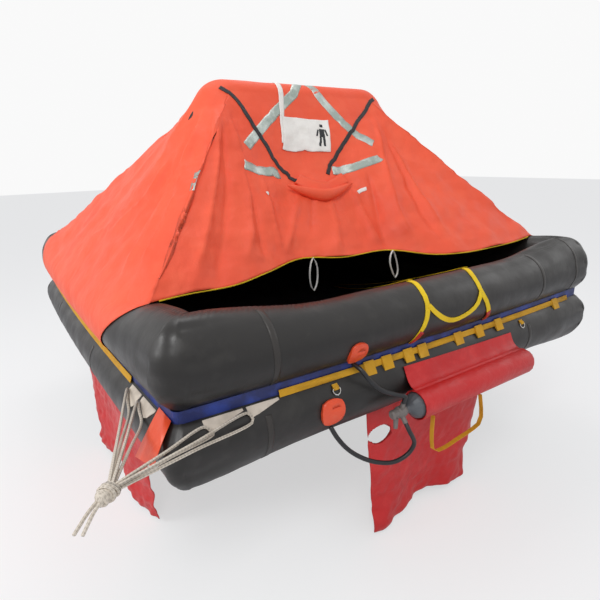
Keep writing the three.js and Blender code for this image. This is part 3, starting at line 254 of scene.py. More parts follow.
def catmull(points: Points, count: int) -> Points:
    """Even points along the centripetal Catmull-Rom curve through points.

    Args:
        points: The points that the curve passes through.
        count: How many points come back.

    Returns:
        Points spaced evenly by length.
    """
    p = np.asarray([np.asarray(q, float) for q in points])
    p = np.vstack([2 * p[0] - p[1], p, 2 * p[-1] - p[-2]])
    fine = []
    t = np.linspace(0, 1, 60, endpoint=False)[:, None]
    for a, b, c, d in zip(p, p[1:], p[2:], p[3:]):
        d0, d1, d2 = (max(1e-4, np.linalg.norm(q)) ** 0.5 for q in (b - a, c - b, d - c))
        m1 = ((b - a) / d0 - (c - a) / (d0 + d1) + (c - b) / d1) * d1
        m2 = ((c - b) / d1 - (d - b) / (d1 + d2) + (d - c) / d2) * d1
        fine.append(b + m1 * t + (3 * (c - b) - 2 * m1 - m2) * t**2 + (2 * (b - c) + m1 + m2) * t**3)
    fine = np.vstack([*fine, p[-2:-1]])
    run = np.concatenate([[0], np.cumsum(np.linalg.norm(np.diff(fine, axis=0), axis=1))])
    at = np.linspace(0, run[-1], count)
    return np.stack([np.interp(at, run, fine[:, k]) for k in range(3)], -1)


def layered(points: Points, layers: tuple[tuple[int, float, float], ...]) -> Points:
    """Sum of several noises at points, each a seed, a wavelength and a height."""
    return sum(Noise(seed, wavelength)(points) * height for seed, wavelength, height in layers)


def path_length(points: Points) -> float:
    """Length of a line of points."""
    return float(np.linalg.norm(np.diff(points, axis=0), axis=1).sum())


# Meshes


def face_outwards(obj: Piece) -> None:
    """Turns every face of a closed mesh outwards."""
    work = bmesh.new()
    work.from_mesh(obj.data)
    bmesh.ops.recalc_face_normals(work, faces=work.faces)
    work.to_mesh(obj.data)
    work.free()


def mesh_object(
    name: str, points: Points, faces: list, uv: Points | None = None, rounded: bool = True
) -> Piece:
    """Makes an object from points in millimetres.

    Args:
        name: The piece's name.
        points: Its vertices.
        faces: Its faces as lists of vertex numbers.
        uv: A place in metres for each vertex, for patterns that follow the piece.
        rounded: Whether its faces are shaded smooth.

    Returns:
        The new object.
    """
    mesh = bpy.data.meshes.new(name)
    mesh.from_pydata((points * MM).tolist(), [], [list(map(int, f)) for f in faces])
    if uv is not None:
        layer = mesh.uv_layers.new(name="along")
        loops = np.zeros(len(mesh.loops), np.int32)
        mesh.loops.foreach_get("vertex_index", loops)
        layer.data.foreach_set("uv", np.asarray(uv, np.float32)[loops].ravel())
    mesh.polygons.foreach_set("use_smooth", [rounded] * len(mesh.polygons))
    mesh.update()
    obj = bpy.data.objects.new(name, mesh)
    bpy.context.scene.collection.objects.link(obj)
    return obj


def grid_faces(rows: int, cols: int, wrap_rows: bool = False, wrap_cols: bool = False) -> Points:
    """Quads of a grid, which may meet itself along rows or columns."""
    i, j = np.meshgrid(
        np.arange(rows if wrap_rows else rows - 1), np.arange(cols if wrap_cols else cols - 1), indexing="ij"
    )
    i2, j2 = (i + 1) % rows, (j + 1) % cols
    return np.stack([i * cols + j, i2 * cols + j, i2 * cols + j2, i * cols + j2], -1).reshape(-1, 4)


def grid_uv(grid: Points) -> Points:
    """A place in metres for each point of a grid: mean run down its rows and over its columns."""
    down = np.concatenate([[0], np.cumsum(np.linalg.norm(np.diff(grid, axis=0), axis=-1).mean(1))])
    over = np.concatenate([[0], np.cumsum(np.linalg.norm(np.diff(grid, axis=1), axis=-1).mean(0))])
    v, u = np.meshgrid(down, over, indexing="ij")
    return np.stack([u, v], -1).reshape(-1, 2) * MM


def grid_normals(grid: Points) -> Points:
    """Normals of a grid of points: the cross product of its two directions."""
    return unit(np.cross(np.gradient(grid, axis=1), np.gradient(grid, axis=0)))


def shell(name: str, under: Points, over: Points, kept: Points | None = None) -> Piece:
    """A closed piece between two grids, with walls wherever kept cells end.

    Args:
        name: The piece's name.
        under: One face as a grid of points.
        over: The other face.
        kept: Which cells there are; all of them if left out.

    Returns:
        The new object.
    """
    rows, cols = under.shape[:2]
    kept = np.ones((rows - 1, cols - 1), bool) if kept is None else kept
    quads = grid_faces(rows, cols)[kept.ravel()]
    lift = rows * cols
    edges = np.concatenate([quads[:, [k, (k + 1) % 4]] for k in range(4)])
    known = {(a, b) for a, b in edges.tolist()}
    rim = sorted((a, b) for a, b in known if (b, a) not in known)
    faces = quads.tolist() + (quads[:, ::-1] + lift).tolist() + [(b, a, a + lift, b + lift) for a, b in rim]
    uv = grid_uv(under)
    points = np.vstack([under.reshape(-1, 3), over.reshape(-1, 3)])
    obj = mesh_object(name, points, faces, np.vstack([uv, uv]))
    work = bmesh.new()
    work.from_mesh(obj.data)
    bmesh.ops.delete(work, geom=[v for v in work.verts if not v.link_faces], context="VERTS")
    bmesh.ops.recalc_face_normals(work, faces=work.faces)
    work.to_mesh(obj.data)
    work.free()
    return obj


def cord_frames(path: Points) -> tuple[Points, Points, Points]:
    """Tangents and two cross directions along a line of points, turning as little as possible."""
    tangent = unit(np.gradient(path, axis=0))
    start = np.cross(tangent[0], (0, 0, 1.0))
    if np.linalg.norm(start) < 0.1:
        start = np.cross(tangent[0], (1.0, 0, 0))
    first = [unit(start)]
    for t in tangent[1:]:
        f = first[-1] - t * (first[-1] @ t)
        first.append(unit(f))
    first = np.array(first)
    return tangent, first, np.cross(tangent, first)


def round_cord(name: str, path: Points, radius: Points | float, sides: int = 14) -> Piece:
    """A closed round cord: a circle carried along a line of points, with domed ends.

    Args:
        name: The piece's name.
        path: Its centre line.
        radius: One radius, or one for each point.
        sides: Sides of its section.

    Returns:
        The new object.
    """
    tangent, a, b = cord_frames(path)
    radii = np.broadcast_to(np.asarray(radius, float), (len(path),))
    turn = np.arange(sides) * 2 * math.pi / sides
    ring = np.cos(turn)[None, :, None] * a[:, None] + np.sin(turn)[None, :, None] * b[:, None]
    run = np.concatenate([[0], np.cumsum(np.linalg.norm(np.diff(path, axis=0), axis=1))])
    body = path[:, None] + ring * radii[:, None, None]
    domes = []
    for k, sign in ((0, -1), (-1, 1)):
        steps = np.array([0.5, 0.85])[:, None, None]
        domes.append(path[k] + tangent[k] * sign * DOME * steps + ring[k] * radii[k] * np.sqrt(1 - steps**2))
    grid = np.concatenate([domes[0][::-1], body, domes[1]])
    run = np.concatenate([[-2, -1], run, [run[-1] + 1, run[-1] + 2]])
    rows = len(grid)
    ends = [np.arange(sides), np.arange(sides) + (rows - 1) * sides]
    faces = grid_faces(rows, sides, wrap_cols=True).tolist() + [e.tolist() for e in ends]
    uv = np.stack([np.tile(turn / (2 * math.pi), rows), np.repeat(run * MM, sides)], -1)
    obj = mesh_object(name, grid.reshape(-1, 3), faces, uv)
    face_outwards(obj)
    return obj


def join(name: str, objects: list[Piece]) -> Piece:
    """Joins objects into the first, under a new name."""
    if len(objects) > 1:
        with bpy.context.temp_override(
            active_object=objects[0], selected_objects=objects, selected_editable_objects=objects
        ):
            bpy.ops.object.join()
    objects[0].name = name
    objects[0].data.name = name
    return objects[0]


# Finishes


def linear(hex_colour: int) -> tuple[float, float, float, float]:
    """An sRGB colour written as 0xRRGGBB, as linear values."""
    out = []
    for shift in (16, 8, 0):
        c = ((hex_colour >> shift) & 255) / 255
        out.append(c / 12.92 if c <= 0.04045 else ((c + 0.055) / 1.055) ** 2.4)
    return (*out, 1.0)


def add(
    tree: bpy.types.NodeTree,
    kind: str,
    settings: dict | None = None,
    inputs: dict | None = None,
    out: int | str = 0,
) -> Socket | None:
    """Adds a node with its settings, numbers and links.

    Args:
        tree: The material's nodes.
        kind: The node's type, without the word that all types start with.
        settings: Its own properties.
        inputs: For each socket, by name or number, a value or the output that feeds it.
        out: Which output comes back.

    Returns:
        That output.
    """
    n = tree.nodes.new("ShaderNode" + kind)
    for key, value in (settings or {}).items():
        setattr(n, key, value)
    for key, value in (inputs or {}).items():
        if isinstance(value, Socket):
            tree.links.new(value, n.inputs[key])
        else:
            n.inputs[key].default_value = value
    return n.outputs[out] if len(n.outputs) else None


class Pattern(Enum):
    """What is woven or printed into a finish."""

    PLAIN = "plain"
    RIBS = "ribs"
    TEETH = "teeth"
    BRAID = "braid"
    CELLS = "cells"


@dataclass(frozen=True)
class Tone:
    """Another colour that shows in patches of a size in millimetres."""

    colour: int
    size: float
    start: float = 0.45
    full: float = 0.75
    amount: float = 0.6


@dataclass(frozen=True)
class Finish:
    """A material: its colour, patches of other tones, relief and pattern, sizes in millimetres."""

    name: str
    colour: int
    roughness: tuple[float, float]
    tones: tuple[Tone, ...] = ()
    relief: tuple[tuple[float, float], ...] = ()  # size and depth of each wrinkle or grain
    metallic: float = 0.0
    coat: float = 0.0
    pattern: Pattern = Pattern.PLAIN
    pitch: tuple[float, float] = (5.0, 8.0)
    depth: float = 0.5
    hollow: int = 0x000000  # colour of the pattern's hollows
    hollow_share: float = 0.4

    def build(self) -> bpy.types.Material:
        """Makes the material."""
        material = bpy.data.materials.new(self.name)
        material.use_nodes = True
        tree = material.node_tree
        tree.nodes.clear()
        shader = tree.nodes.new("ShaderNodeBsdfPrincipled")
        add(tree, "OutputMaterial", inputs={"Surface": shader.outputs[0]})
        shader.inputs["Metallic"].default_value = self.metallic
        shader.inputs["Coat Weight"].default_value = self.coat
        place = add(tree, "TexCoord", out="Object")
        height = self._pattern(tree)
        tree.links.new(self._tint(tree, place, height), shader.inputs["Base Color"])
        patches = add(tree, "TexNoise", inputs={"Vector": place, "Scale": 8.0, "Detail": 5.0})
        low, high = self.roughness
        sheen = add(tree, "MapRange", inputs={0: patches, 1: 0.3, 2: 0.7, 3: low, 4: high})
        tree.links.new(sheen, shader.inputs["Roughness"])
        normal = self._relief(tree, place, height)
        if normal is not None:
            tree.links.new(normal, shader.inputs["Normal"])
        return material

    def _tint(self, tree: bpy.types.NodeTree, place: Socket, height: Socket | None) -> Socket:
        """The colour: patches of each tone over the ground colour, then the pattern's hollows."""
        tint = linear(self.colour)
        mixed = {"data_type": "RGBA"}
        for tone in self.tones or (Tone(self.colour, 50),):
            inputs = {"Vector": place, "Scale": NOISE_RATE / tone.size, "Detail": 5.0}
            noise = add(tree, "TexNoise", inputs=inputs)
            share = add(tree, "MapRange", inputs={0: noise, 1: tone.start, 2: tone.full, 4: tone.amount})
            tint = add(tree, "Mix", mixed, {0: share, 6: tint, 7: linear(tone.colour)}, out=2)
        if height is not None:
            # Painted shade: the hollows of the webbing's ribs and of the rope's braid take their darker
            # hollow colour
            share = add(tree, "MapRange", inputs={0: height, 1: 0.5, 2: 0.0, 4: self.hollow_share})
            tint = add(tree, "Mix", mixed, {0: share, 6: tint, 7: linear(self.hollow)}, out=2)
        return tint

    def _relief(self, tree: bpy.types.NodeTree, place: Socket, height: Socket | None) -> Socket | None:
        """The bumps: the pattern first, then each size of wrinkle."""
        normal = None
        layers = [] if height is None else [(height, self.depth)]
        for size, depth in self.relief:
            settings = {"Vector": place, "Scale": NOISE_RATE / size, "Detail": 4.0, "Distortion": 0.6}
            layers.append((add(tree, "TexNoise", inputs=settings), depth))
        for level, depth in layers:
            inputs = {"Height": level, "Distance": depth * MM * 2, "Strength": 1.0}
            if normal is not None:
                inputs["Normal"] = normal
            normal = add(tree, "Bump", inputs=inputs)
        return normal

    def _pattern(self, tree: bpy.types.NodeTree) -> Socket | None:
        """Height of the pattern from 0 to 1, on the piece's own map."""
        if self.pattern is Pattern.PLAIN:
            return None
        place = add(tree, "TexCoord", out="UV")
        if self.pattern is Pattern.CELLS:
            return add(tree, "TexVoronoi", inputs={"Vector": place, "Scale": 1000 / self.pitch[0]})
        over = add(tree, "SeparateXYZ", inputs={0: place}, out=0)
        down = add(tree, "SeparateXYZ", inputs={0: place}, out=1)
        rates = [2 * math.pi * 1000 / pitch for pitch in self.pitch]
        if self.pattern is Pattern.BRAID:
            turned = add(tree, "Math", {"operation": "MULTIPLY"}, {0: over, 1: 6 * math.pi})
            run = add(tree, "Math", {"operation": "MULTIPLY"}, {0: down, 1: rates[1]})
            lines = [add(tree, "Math", {"operation": op}, {0: run, 1: turned}) for op in ("ADD", "SUBTRACT")]
        else:
            lines = [
                add(tree, "Math", {"operation": "MULTIPLY"}, {0: way, 1: rate})
                for way, rate in zip((over, down), rates)
            ]
        waves = [add(tree, "Math", {"operation": "SINE"}, {0: line}) for line in lines]
        both = waves[1]
        if self.pattern is not Pattern.TEETH:
            both = add(tree, "Math", {"operation": "MULTIPLY"}, {0: waves[0], 1: waves[1]})
        return add(tree, "MapRange", inputs={0: both, 1: -1.0, 2: 1.0})


FINISHES = (
    # Polyurethane-coated nylon: smooth, faintly glossy, with lighter grey patches painted in as a sheen of
    # reflected sky.
    Finish("coated_nylon_black", 0x171412, (0.34, 0.56),
           (Tone(0x2B2725, 260), Tone(0x3D3A37, 40, 0.55, 0.8, 0.4)),
           ((110, 2.0), (22, 0.5), (3, 0.05)), coat=0.04),
    # The same cloth cut as tape and glued over the seams: a little browner and duller.
    Finish("seam_tape_black", 0x2A2623, (0.34, 0.55), (Tone(0x3D3834, 50, 0.5, 0.8, 0.5),), ((14, 0.5),)),
    # Floor cloth lit from above: blue-grey with soft wrinkles.
    Finish("coated_nylon_floor", 0x3C4350, (0.4, 0.6), (Tone(0x5B6370, 130),), ((70, 4.0), (16, 1.0))),
    # Canopy cloth: thin orange coated nylon, matt, with fine creases from its packing.
    Finish("coated_nylon_orange", 0xF25A36, (0.48, 0.66),
           (Tone(0xE4482A, 300, 0.4, 0.7, 0.5), Tone(0xFA7350, 60, 0.5, 0.8, 0.35)),
           ((75, 3.2), (24, 1.3), (7, 0.35))),
    # Pouch and pocket cloth: red nylon with a soft sheen and many small creases.
    Finish("nylon_red", 0xC81D1E, (0.36, 0.58), (Tone(0xA81417, 140), Tone(0xE2403C, 34, 0.55, 0.8, 0.5)),
           ((60, 3.4), (20, 1.4), (6, 0.3))),
    # Strip between the rings: navy cloth with brighter blue patches.
    Finish("coated_nylon_navy", 0x16235E, (0.4, 0.55), (Tone(0x2C49AA, 40, 0.45, 0.7, 0.7),), ((12, 0.5),)),
    # Fixing patches: raw woven cloth glued to the tube, stained by its glue.
    Finish("patch_cloth_beige", 0xD8CBBB, (0.6, 0.8), (Tone(0x9C9080, 30, 0.45, 0.75, 0.6),),
           ((12, 0.8), (3, 0.2))),
    # Lifeline webbing: yellow polyester, faded and dusty, its ribs drawn 5 to 8 mm apart so that they show.
    Finish("webbing_yellow", 0xDDA41C, (0.65, 0.85), (Tone(0xB37F14, 50), Tone(0xEEC04A, 24, 0.55, 0.8, 0.5)),
           ((10, 0.4),), pattern=Pattern.RIBS, hollow=0x8A6210),
    # Ladder webbing: newer and brighter yellow.
    Finish("webbing_bright", 0xF4D010, (0.6, 0.8), (Tone(0xD4A80C, 50),), ((10, 0.4),), pattern=Pattern.RIBS,
           hollow=0xA8860C),
    # White cotton tape and notice cloth: matt, slightly soiled in its creases.
    Finish("cotton_white", 0xEFEBE4, (0.6, 0.8), (Tone(0xC9C3BA, 40, 0.45, 0.75, 0.5),),
           ((30, 1.5), (6, 0.4))),
    # Reflective tape: glass beads under film, a honeycomb 4 mm across, brighter where it catches light.
    Finish("reflective_tape", 0xA3AFA6, (0.28, 0.42),
           (Tone(0xDCE3DC, 40, 0.48, 0.66, 0.8), Tone(0x77827A, 26, 0.5, 0.75, 0.5)), ((30, 1.6),),
           metallic=0.35, pattern=Pattern.CELLS, pitch=(4.0, 4.0), depth=0.2, hollow=0x6E7A71),
    # Zip: black tape with teeth drawn every 7 mm, coarse enough to show.
    Finish("zip_black", 0x17171A, (0.5, 0.7), relief=((20, 0.6),), pattern=Pattern.TEETH, pitch=(7.0, 7.0),
           depth=0.8, hollow=0x4C4A50),
    # Braided polyester rope: cream, strands 22 mm to the turn, with painted shade in the hollows.
    Finish("braided_rope", 0xDCD1C2, (0.75, 0.9), (Tone(0xB4A794, 30),), ((3, 0.1),), pattern=Pattern.BRAID,
           pitch=(22.0, 22.0), depth=0.9, hollow=0x84796A, hollow_share=0.6),
    # Orange vinyl of the valve covers and the tag: glossy, scuffed.
    Finish("vinyl_orange", 0xE9512A, (0.3, 0.46), (Tone(0xCB3D1B, 50), Tone(0xF07A55, 16, 0.56, 0.8, 0.5)),
           ((18, 0.7),)),
    # Red vinyl sheath over the ladder's rungs.
    Finish("vinyl_red", 0xB3231D, (0.35, 0.5), (Tone(0x8E1814, 30),), ((14, 0.5),)),
    # Black print on cloth.
    Finish("print_black", 0x14161B, (0.5, 0.65), (Tone(0x2A2D34, 12),), ((6, 0.2),)),
    # Braided grey sock over the operating head: a mesh of dark gaps.
    Finish("braided_sock", 0x7C7571, (0.4, 0.6), (Tone(0x5A5350, 30),), ((9, 0.8), (3, 0.4)), metallic=0.3),
    # Hose: matt black rubber.
    Finish("rubber_black", 0x17171A, (0.34, 0.52), (Tone(0x29292C, 40),), ((4, 0.1),)),
    # Stainless steel rod: bright, drawn, finely scratched.
    Finish("stainless_steel", 0xC9C9C6, (0.2, 0.38), (Tone(0x9C9C99, 12),), ((2, 0.04),), metallic=1.0),
    # Painted steel of the cylinder.
    Finish("paint_grey", 0x5A5D61, (0.32, 0.46), (Tone(0x74777B, 60),), ((6, 0.05),), metallic=0.2),
)


# Camera, light and ground


@dataclass(frozen=True)
class PhotoCamera:
    """The camera that took the photograph, as fitted to it. Its place is in millimetres."""

    place: tuple[float, float, float] = (-1620.8, -2591.9, 1043.1)
    yaw: float = 33.75
    pitch: float = 16.62
    roll: float = -0.02438
    focal: float = 478.93  # in pixels of a picture 600 wide
    picture: int = 600
    sensor: float = 36.0

    def axes(self) -> tuple[Points, Points, Points]:
        """Right, up and forward directions."""
        y, p = self.yaw * DEG, self.pitch * DEG
        forward = np.array([math.sin(y) * math.cos(p), math.cos(y) * math.cos(p), -math.sin(p)])
        right = np.array([math.cos(y), -math.sin(y), 0.0])
        up = np.cross(right, forward)
        c, s = math.cos(self.roll), math.sin(self.roll)
        return c * right + s * up, -s * right + c * up, forward

    def ray(self, px: float, py: float) -> Points:
        """Direction from the camera through a place in the photograph."""
        right, up, forward = self.axes()
        half = self.picture / 2
        return unit(forward + right * (px - half) / self.focal - up * (py - half) / self.focal)

    def build(self) -> None:
        """Adds the camera to the scene."""
        data = bpy.data.cameras.new("camera")
        data.sensor_width = self.sensor
        data.lens = self.focal / self.picture * self.sensor
        data.clip_start, data.clip_end = 0.05, 60
        obj = bpy.data.objects.new("camera", data)
        bpy.context.scene.collection.objects.link(obj)
        right, up, forward = self.axes()
        turn = Matrix((right, up, -forward)).transposed()
        obj.matrix_world = Matrix.Translation(Vector(self.place) * MM) @ turn.to_4x4()
        bpy.context.scene.camera = obj


CAMERA = PhotoCamera()


@dataclass
class Studio:
    """Pale ground and soft light. Places are in metres."""

    ground_z: float = -0.668
    reach: float = 30.0
    sky: float = 0.62
    ground_glow: float = 0.6  # share of plain white in what the camera sees of the ground
    white: float = 0.95  # strength of that white
    aim: tuple[float, float, float] = (0, -0.2, 0.5)
    lamps: tuple[tuple[str, tuple[float, float, float], float, float], ...] = (
        ("key", (-2.6, -3.6, 4.2), 1.6, 75.0),
        ("left", (-4.8, 0.4, 2.6), 2.0, 70.0),
        ("right", (4.2, -2.0, 2.6), 2.4, 14.0),
        ("top", (0.2, 0.8, 4.6), 2.0, 30.0),
    )

    def build(self) -> None:
        """Adds the ground, the lamps and the sky."""
        world = bpy.data.worlds.new("sky")
        world.use_nodes = True
        tree = world.node_tree
        tree.nodes.clear()
        shows = add(tree, "LightPath", out="Is Camera Ray")
        glossy = add(tree, "LightPath", out="Is Glossy Ray")
        seen = add(tree, "Math", {"operation": "MAXIMUM"}, {0: shows, 1: glossy})
        plain = add(tree, "Background", inputs={"Color": (0.93, 0.95, 1.0, 1), "Strength": self.sky})
        white = add(tree, "Background", inputs={"Color": (1, 1, 1, 1), "Strength": self.white})
        both = add(tree, "MixShader", inputs={0: seen, 1: plain, 2: white})
        add(tree, "OutputWorld", inputs={"Surface": both})
        bpy.context.scene.world = world
        bpy.context.scene.view_settings.view_transform = "Standard"
        corners = np.array([[-1, -1, 0], [1, -1, 0], [1, 1, 0], [-1, 1, 0]], float) * self.reach / MM
        corners[:, 2] = self.ground_z / MM
        ground = mesh_object("ground", corners, [(0, 1, 2, 3)], rounded=False)
        material = bpy.data.materials.new("ground_paper")
        material.use_nodes = True
        sheet = material.node_tree
        sheet.nodes.clear()
        paper = sheet.nodes.new("ShaderNodeBsdfDiffuse")
        paper.inputs["Color"].default_value = linear(0xF6F6F6)
        ray = add(sheet, "LightPath", out="Is Camera Ray")
        share = add(sheet, "Math", {"operation": "MULTIPLY"}, {0: ray, 1: self.ground_glow})
        white = add(sheet, "Emission", inputs={"Color": (1, 1, 1, 1), "Strength": self.white})
        mixed = add(sheet, "MixShader", inputs={0: share, 1: paper.outputs[0], 2: white})
        add(sheet, "OutputMaterial", inputs={"Surface": mixed})
        ground.data.materials.append(material)
        for name, place, size, power in self.lamps:
            data = bpy.data.lights.new(name, "AREA")
            data.shape = "DISK"
            data.size = size
            data.energy = power
            obj = bpy.data.objects.new(name, data)
            bpy.context.scene.collection.objects.link(obj)
            turn = (Vector(self.aim) - Vector(place)).to_track_quat("-Z", "Y")
            obj.matrix_world = Matrix.Translation(Vector(place)) @ turn.to_matrix().to_4x4()


# The raft's pieces


@dataclass
class Workshop:
    """What the builders share: the finishes and the surfaces that pieces are laid on."""

    materials: dict[str, bpy.types.Material]
    surfaces: dict[str, BVHTree] = field(default_factory=dict)

    def keep(self, obj: Piece, finish: str, *nodes: str, slot: str | None = None) -> None:
        """Dresses a new piece.

        Args:
            obj: The piece.
            finish: The name of its finish.
            nodes: CAD nodes that it stands for.
            slot: Not used.
        """
        obj.data.materials.clear()
        obj.data.materials.append(self.materials[finish])
        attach(obj, BODY)
        if nodes:
            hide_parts(*nodes)
        LOG.info("%s: %d faces, %s", obj.name, len(obj.data.polygons), finish)

    def remember(self, name: str, points: Points, faces: Points) -> None:
        """Keeps a surface in millimetres, so that other pieces can be laid on it."""
        self.surfaces[name] = BVHTree.FromPolygons(points.tolist(), [tuple(map(int, f)) for f in faces])

    def cast(self, surface: str, px: float, py: float) -> Points | None:
        """Where the line of sight through a place in the photograph meets a surface."""
        hit = self.surfaces[surface].ray_cast(Vector(CAMERA.place), Vector(CAMERA.ray(px, py)))
        return None if hit[0] is None else np.array(hit[0])

    def lay(self, surface: str, points: Points, lift: float) -> tuple[Points, Points]:
        """Moves points to the nearest places on a surface.

        Args:
            surface: The surface's name.
            points: The points, in any shape.
            lift: How far off the surface they end.

        Returns:
            The points and the surface's normals there.
        """
        flat = points.reshape(-1, 3)
        placed, normals = np.empty_like(flat), np.empty_like(flat)
        for k, p in enumerate(flat):
            near = self.surfaces[surface].find_nearest(Vector(p))
            placed[k], normals[k] = near[0], near[1]
        outer = ((placed - MIDDLE) * normals).sum(-1, keepdims=True) >= 0
        normals = np.where(outer, normals, -normals)
        return (placed + normals * lift).reshape(points.shape), normals.reshape(points.shape)

    def band(
        self,
        name: str,
        surface: str,
        points: Points | list | tuple,
        width: float,
        thickness: float = 1.0,
        lift: float = 0.6,
        step: float = 14.0,
    ) -> Piece:
        """A flat band that lies on a surface: its line and its width are both laid on it.

        Args:
            name: The piece's name.
            surface: What it lies on.
            points: Points that its middle passes over.
            width: Its width.
            thickness: Its thickness.
            lift: How far it lies off the surface.
            step: About how far apart its sections are.

        Returns:
            The new object.
        """
        line = catmull(points, max(4, int(path_length(np.asarray(points, float)) / step)))
        line, normal = self.lay(surface, line, 0)
        across = unit(np.cross(normal, np.gradient(line, axis=0)))
        offsets = np.linspace(-0.5, 0.5, 5) * width
        grid = line[:, None] + across[:, None] * offsets[None, :, None]
        laid, normals = self.lay(surface, grid, lift)
        return shell(name, laid, laid + normals * thickness)


@dataclass
class TubeRings:
    """The two inflated rings, with mitred and puckered corners."""

    shop: Workshop
    section_points: int = 72
    corner_steps: int = 9
    crease_depth: float = 6.0
    seam_pucker: float = 2.6
    seam_pitch: float = 21.0
    seam_reach: float = 560.0  # how far from a corner the top seam puckers
    corner_fold: float = 4.0
    folds: int = 9  # creases round a section
    contact_gap: float = 0.2  # half the gap between the two rings
    middle_spots: int = 70  # sections along the middle half of a side
    end_spots: int = 120  # sections along each end quarter
    dents: tuple[tuple[int, float, float], ...] = ((3, 420, 1.6), (4, 90, 0.4))

    def build(self) -> None:
        """Adds both rings and the weld tapes over them."""
        for ring in Ring:
            obj, grid = self._ring(ring)
            self.shop.keep(obj, "coated_nylon_black", f"{ring.value}_tube", slot="tube_fabric")
            faces = grid_faces(*grid.shape[:2], wrap_rows=True, wrap_cols=True)
            self.shop.remember(ring.value, grid.reshape(-1, 3), faces)
        self._tapes()

    def _ring(self, ring: Ring) -> tuple[Piece, Points]:
        """One ring: sections set along the four sides and round the corners, then small dents."""
        angles = (np.arange(self.section_points) + 0.5) * 2 * math.pi / self.section_points
        inner = np.linspace(-0.5, 0.5, self.middle_spots)
        near = np.linspace(0.5, 1, self.end_spots)[1:]
        spots = np.concatenate([-near[::-1], inner, near])
        blocks, outs = [], []
        for k, side in enumerate(SIDES):
            n, t = np.array([*side.normal, 0.0]), np.array([*side.travel, 0.0])
            blocks.append(self._straight(ring, side, k, spots[:, None], angles[None]))
            outs.append(np.repeat(n[None], len(spots), 0))
            turns = np.linspace(0, 90, self.corner_steps + 2)[1:-1] * DEG
            blocks.append(self._corner(ring, side, turns[:, None], angles[None]))
            outs.append(n * np.cos(turns)[:, None] + t * np.sin(turns)[:, None])
        grid = np.concatenate(blocks)
        away = np.concatenate(outs)[:, None] * np.cos(angles)[None, :, None]
        away = away + np.array([0, 0, 1.0]) * np.sin(angles)[None, :, None]
        grid = grid + away * layered(grid, self.dents)[..., None]
        contact = TUBE_PITCH / 2 - self.contact_gap
        up = grid[..., 2] - ring.z
        up = np.maximum(up, -contact) if ring is Ring.UPPER else np.minimum(up, contact)
        grid[..., 2] = ring.z + up
        faces = grid_faces(*grid.shape[:2], wrap_rows=True, wrap_cols=True)
        obj = mesh_object(f"{ring.value}_ring", grid.reshape(-1, 3), faces)
        face_outwards(obj)
        return obj, grid

    def _straight(self, ring: Ring, side: Side, index: int, s: Points, angles: Points) -> Points:
        """Sections of a straight side: share s along it, with the dents taken off their radius."""
        outward, up = section(ring, angles, swell(side, s))
        along = s * (side.half + outward - corner_radius(outward, ring.corner_round))
        dent = self._puckers(ring, index, s * side.half, (1 - np.abs(s)) * side.half, angles)
        outward = outward + dent * np.cos(angles)
        up = up + dent * np.sin(angles)
        out = side.out + side.bow * (1 - s * s) + outward
        x = side.normal[0] * out + side.travel[0] * along
        y = side.normal[1] * out + side.travel[1] * along
        return np.stack([x, y, ring.z + up], -1)

    def _corner(self, ring: Ring, side: Side, turn: Points, angles: Points) -> Points:
        """Sections round a corner, each turned about the corner's own centre."""
        outward, up = section(ring, angles, 1.0)
        crease = np.maximum(0, np.cos(angles * self.folds)) * (np.cos(angles) > -0.2)
        outward = outward - self.corner_fold * crease * np.cos(angles)
        outward, up = np.broadcast_arrays(outward, up + 0 * turn)
        r = corner_radius(outward, ring.corner_round)
        out = side.out + outward - r + r * np.cos(turn)
        along = side.half + outward - r + r * np.sin(turn)
        x = side.normal[0] * out + side.travel[0] * along
        y = side.normal[1] * out + side.travel[1] * along
        return np.stack([x, y, ring.z + up], -1)

    def _puckers(self, ring: Ring, index: int, along: Points, inset: Points, angles: Points) -> Points:
        """Creases that run out of a corner, and short ones across the seam near it."""
        wobble = 0.5 * np.sin(along / 37 + index) + along / 300
        crests = np.maximum(0, np.cos(angles * self.folds + wobble)) ** 2
        creases = -self.crease_depth * np.exp(-inset / 110) * crests
        seam = (96 if ring is Ring.UPPER else -86) * DEG
        off = (angles - seam + math.pi) % (2 * math.pi) - math.pi
        phase = 2 * math.pi * along / self.seam_pitch + 1.6 * np.sin(along / 31)
        short = (0.5 + 0.5 * np.sin(phase)) * np.exp(-((off / (14 * DEG)) ** 2))
        reach = np.exp(-((np.maximum(0, inset - self.seam_reach) / 90) ** 2))
        return creases - self.seam_pucker * short * reach

    def _tapes(self) -> None:
        """Weld tapes: strips over the tubes, round them or along their seams."""
        # Ring, side, place along it, width, and the first and last angle round the tube
        rounds = (
            (Ring.UPPER, FRONT, -868, 26, -48, 200),
            (Ring.UPPER, FRONT, 722, 24, -48, 200),
            (Ring.UPPER, FRONT, 1068, 20, -48, 200),
            (Ring.LOWER, FRONT, -905, 24, -200, 30),
            (Ring.LOWER, FRONT, 640, 24, -200, 30),
            (Ring.LOWER, LEFT, 300, 24, -200, 40),
            (Ring.LOWER, LEFT, -620, 24, -200, 40),
        )
        made = []
        for ring, side, along, width, low, high in rounds:
            over = along + np.linspace(-width / 2, width / 2, 4)
            place, angle = np.meshgrid(over, np.linspace(low, high, 70))
            grid, normal = self.shop.lay(ring.value, on_tube(ring, side, place, angle, 0.0), 0.2)
            made.append(shell(f"weld_{len(made)}", grid, grid + normal * 0.9))
        self.shop.keep(join("weld_tapes", made), "seam_tape_black", slot="tube_fabric")


def arch_bend(sign: float, turn: Points, radial: Points, across: Points) -> Points:
    """Points beside the arch's bend, turn radians past its level part."""
    turn, radial, across = np.broadcast_arrays(*(np.asarray(a, float) for a in (turn, radial, across)))
    r = ARCH_BEND_R + radial
    x = sign * (LEVEL_END + r * np.sin(turn))
    return np.stack([x, ARCH_Y + across, BEND_CENTRE_Z + r * np.cos(turn)], -1)


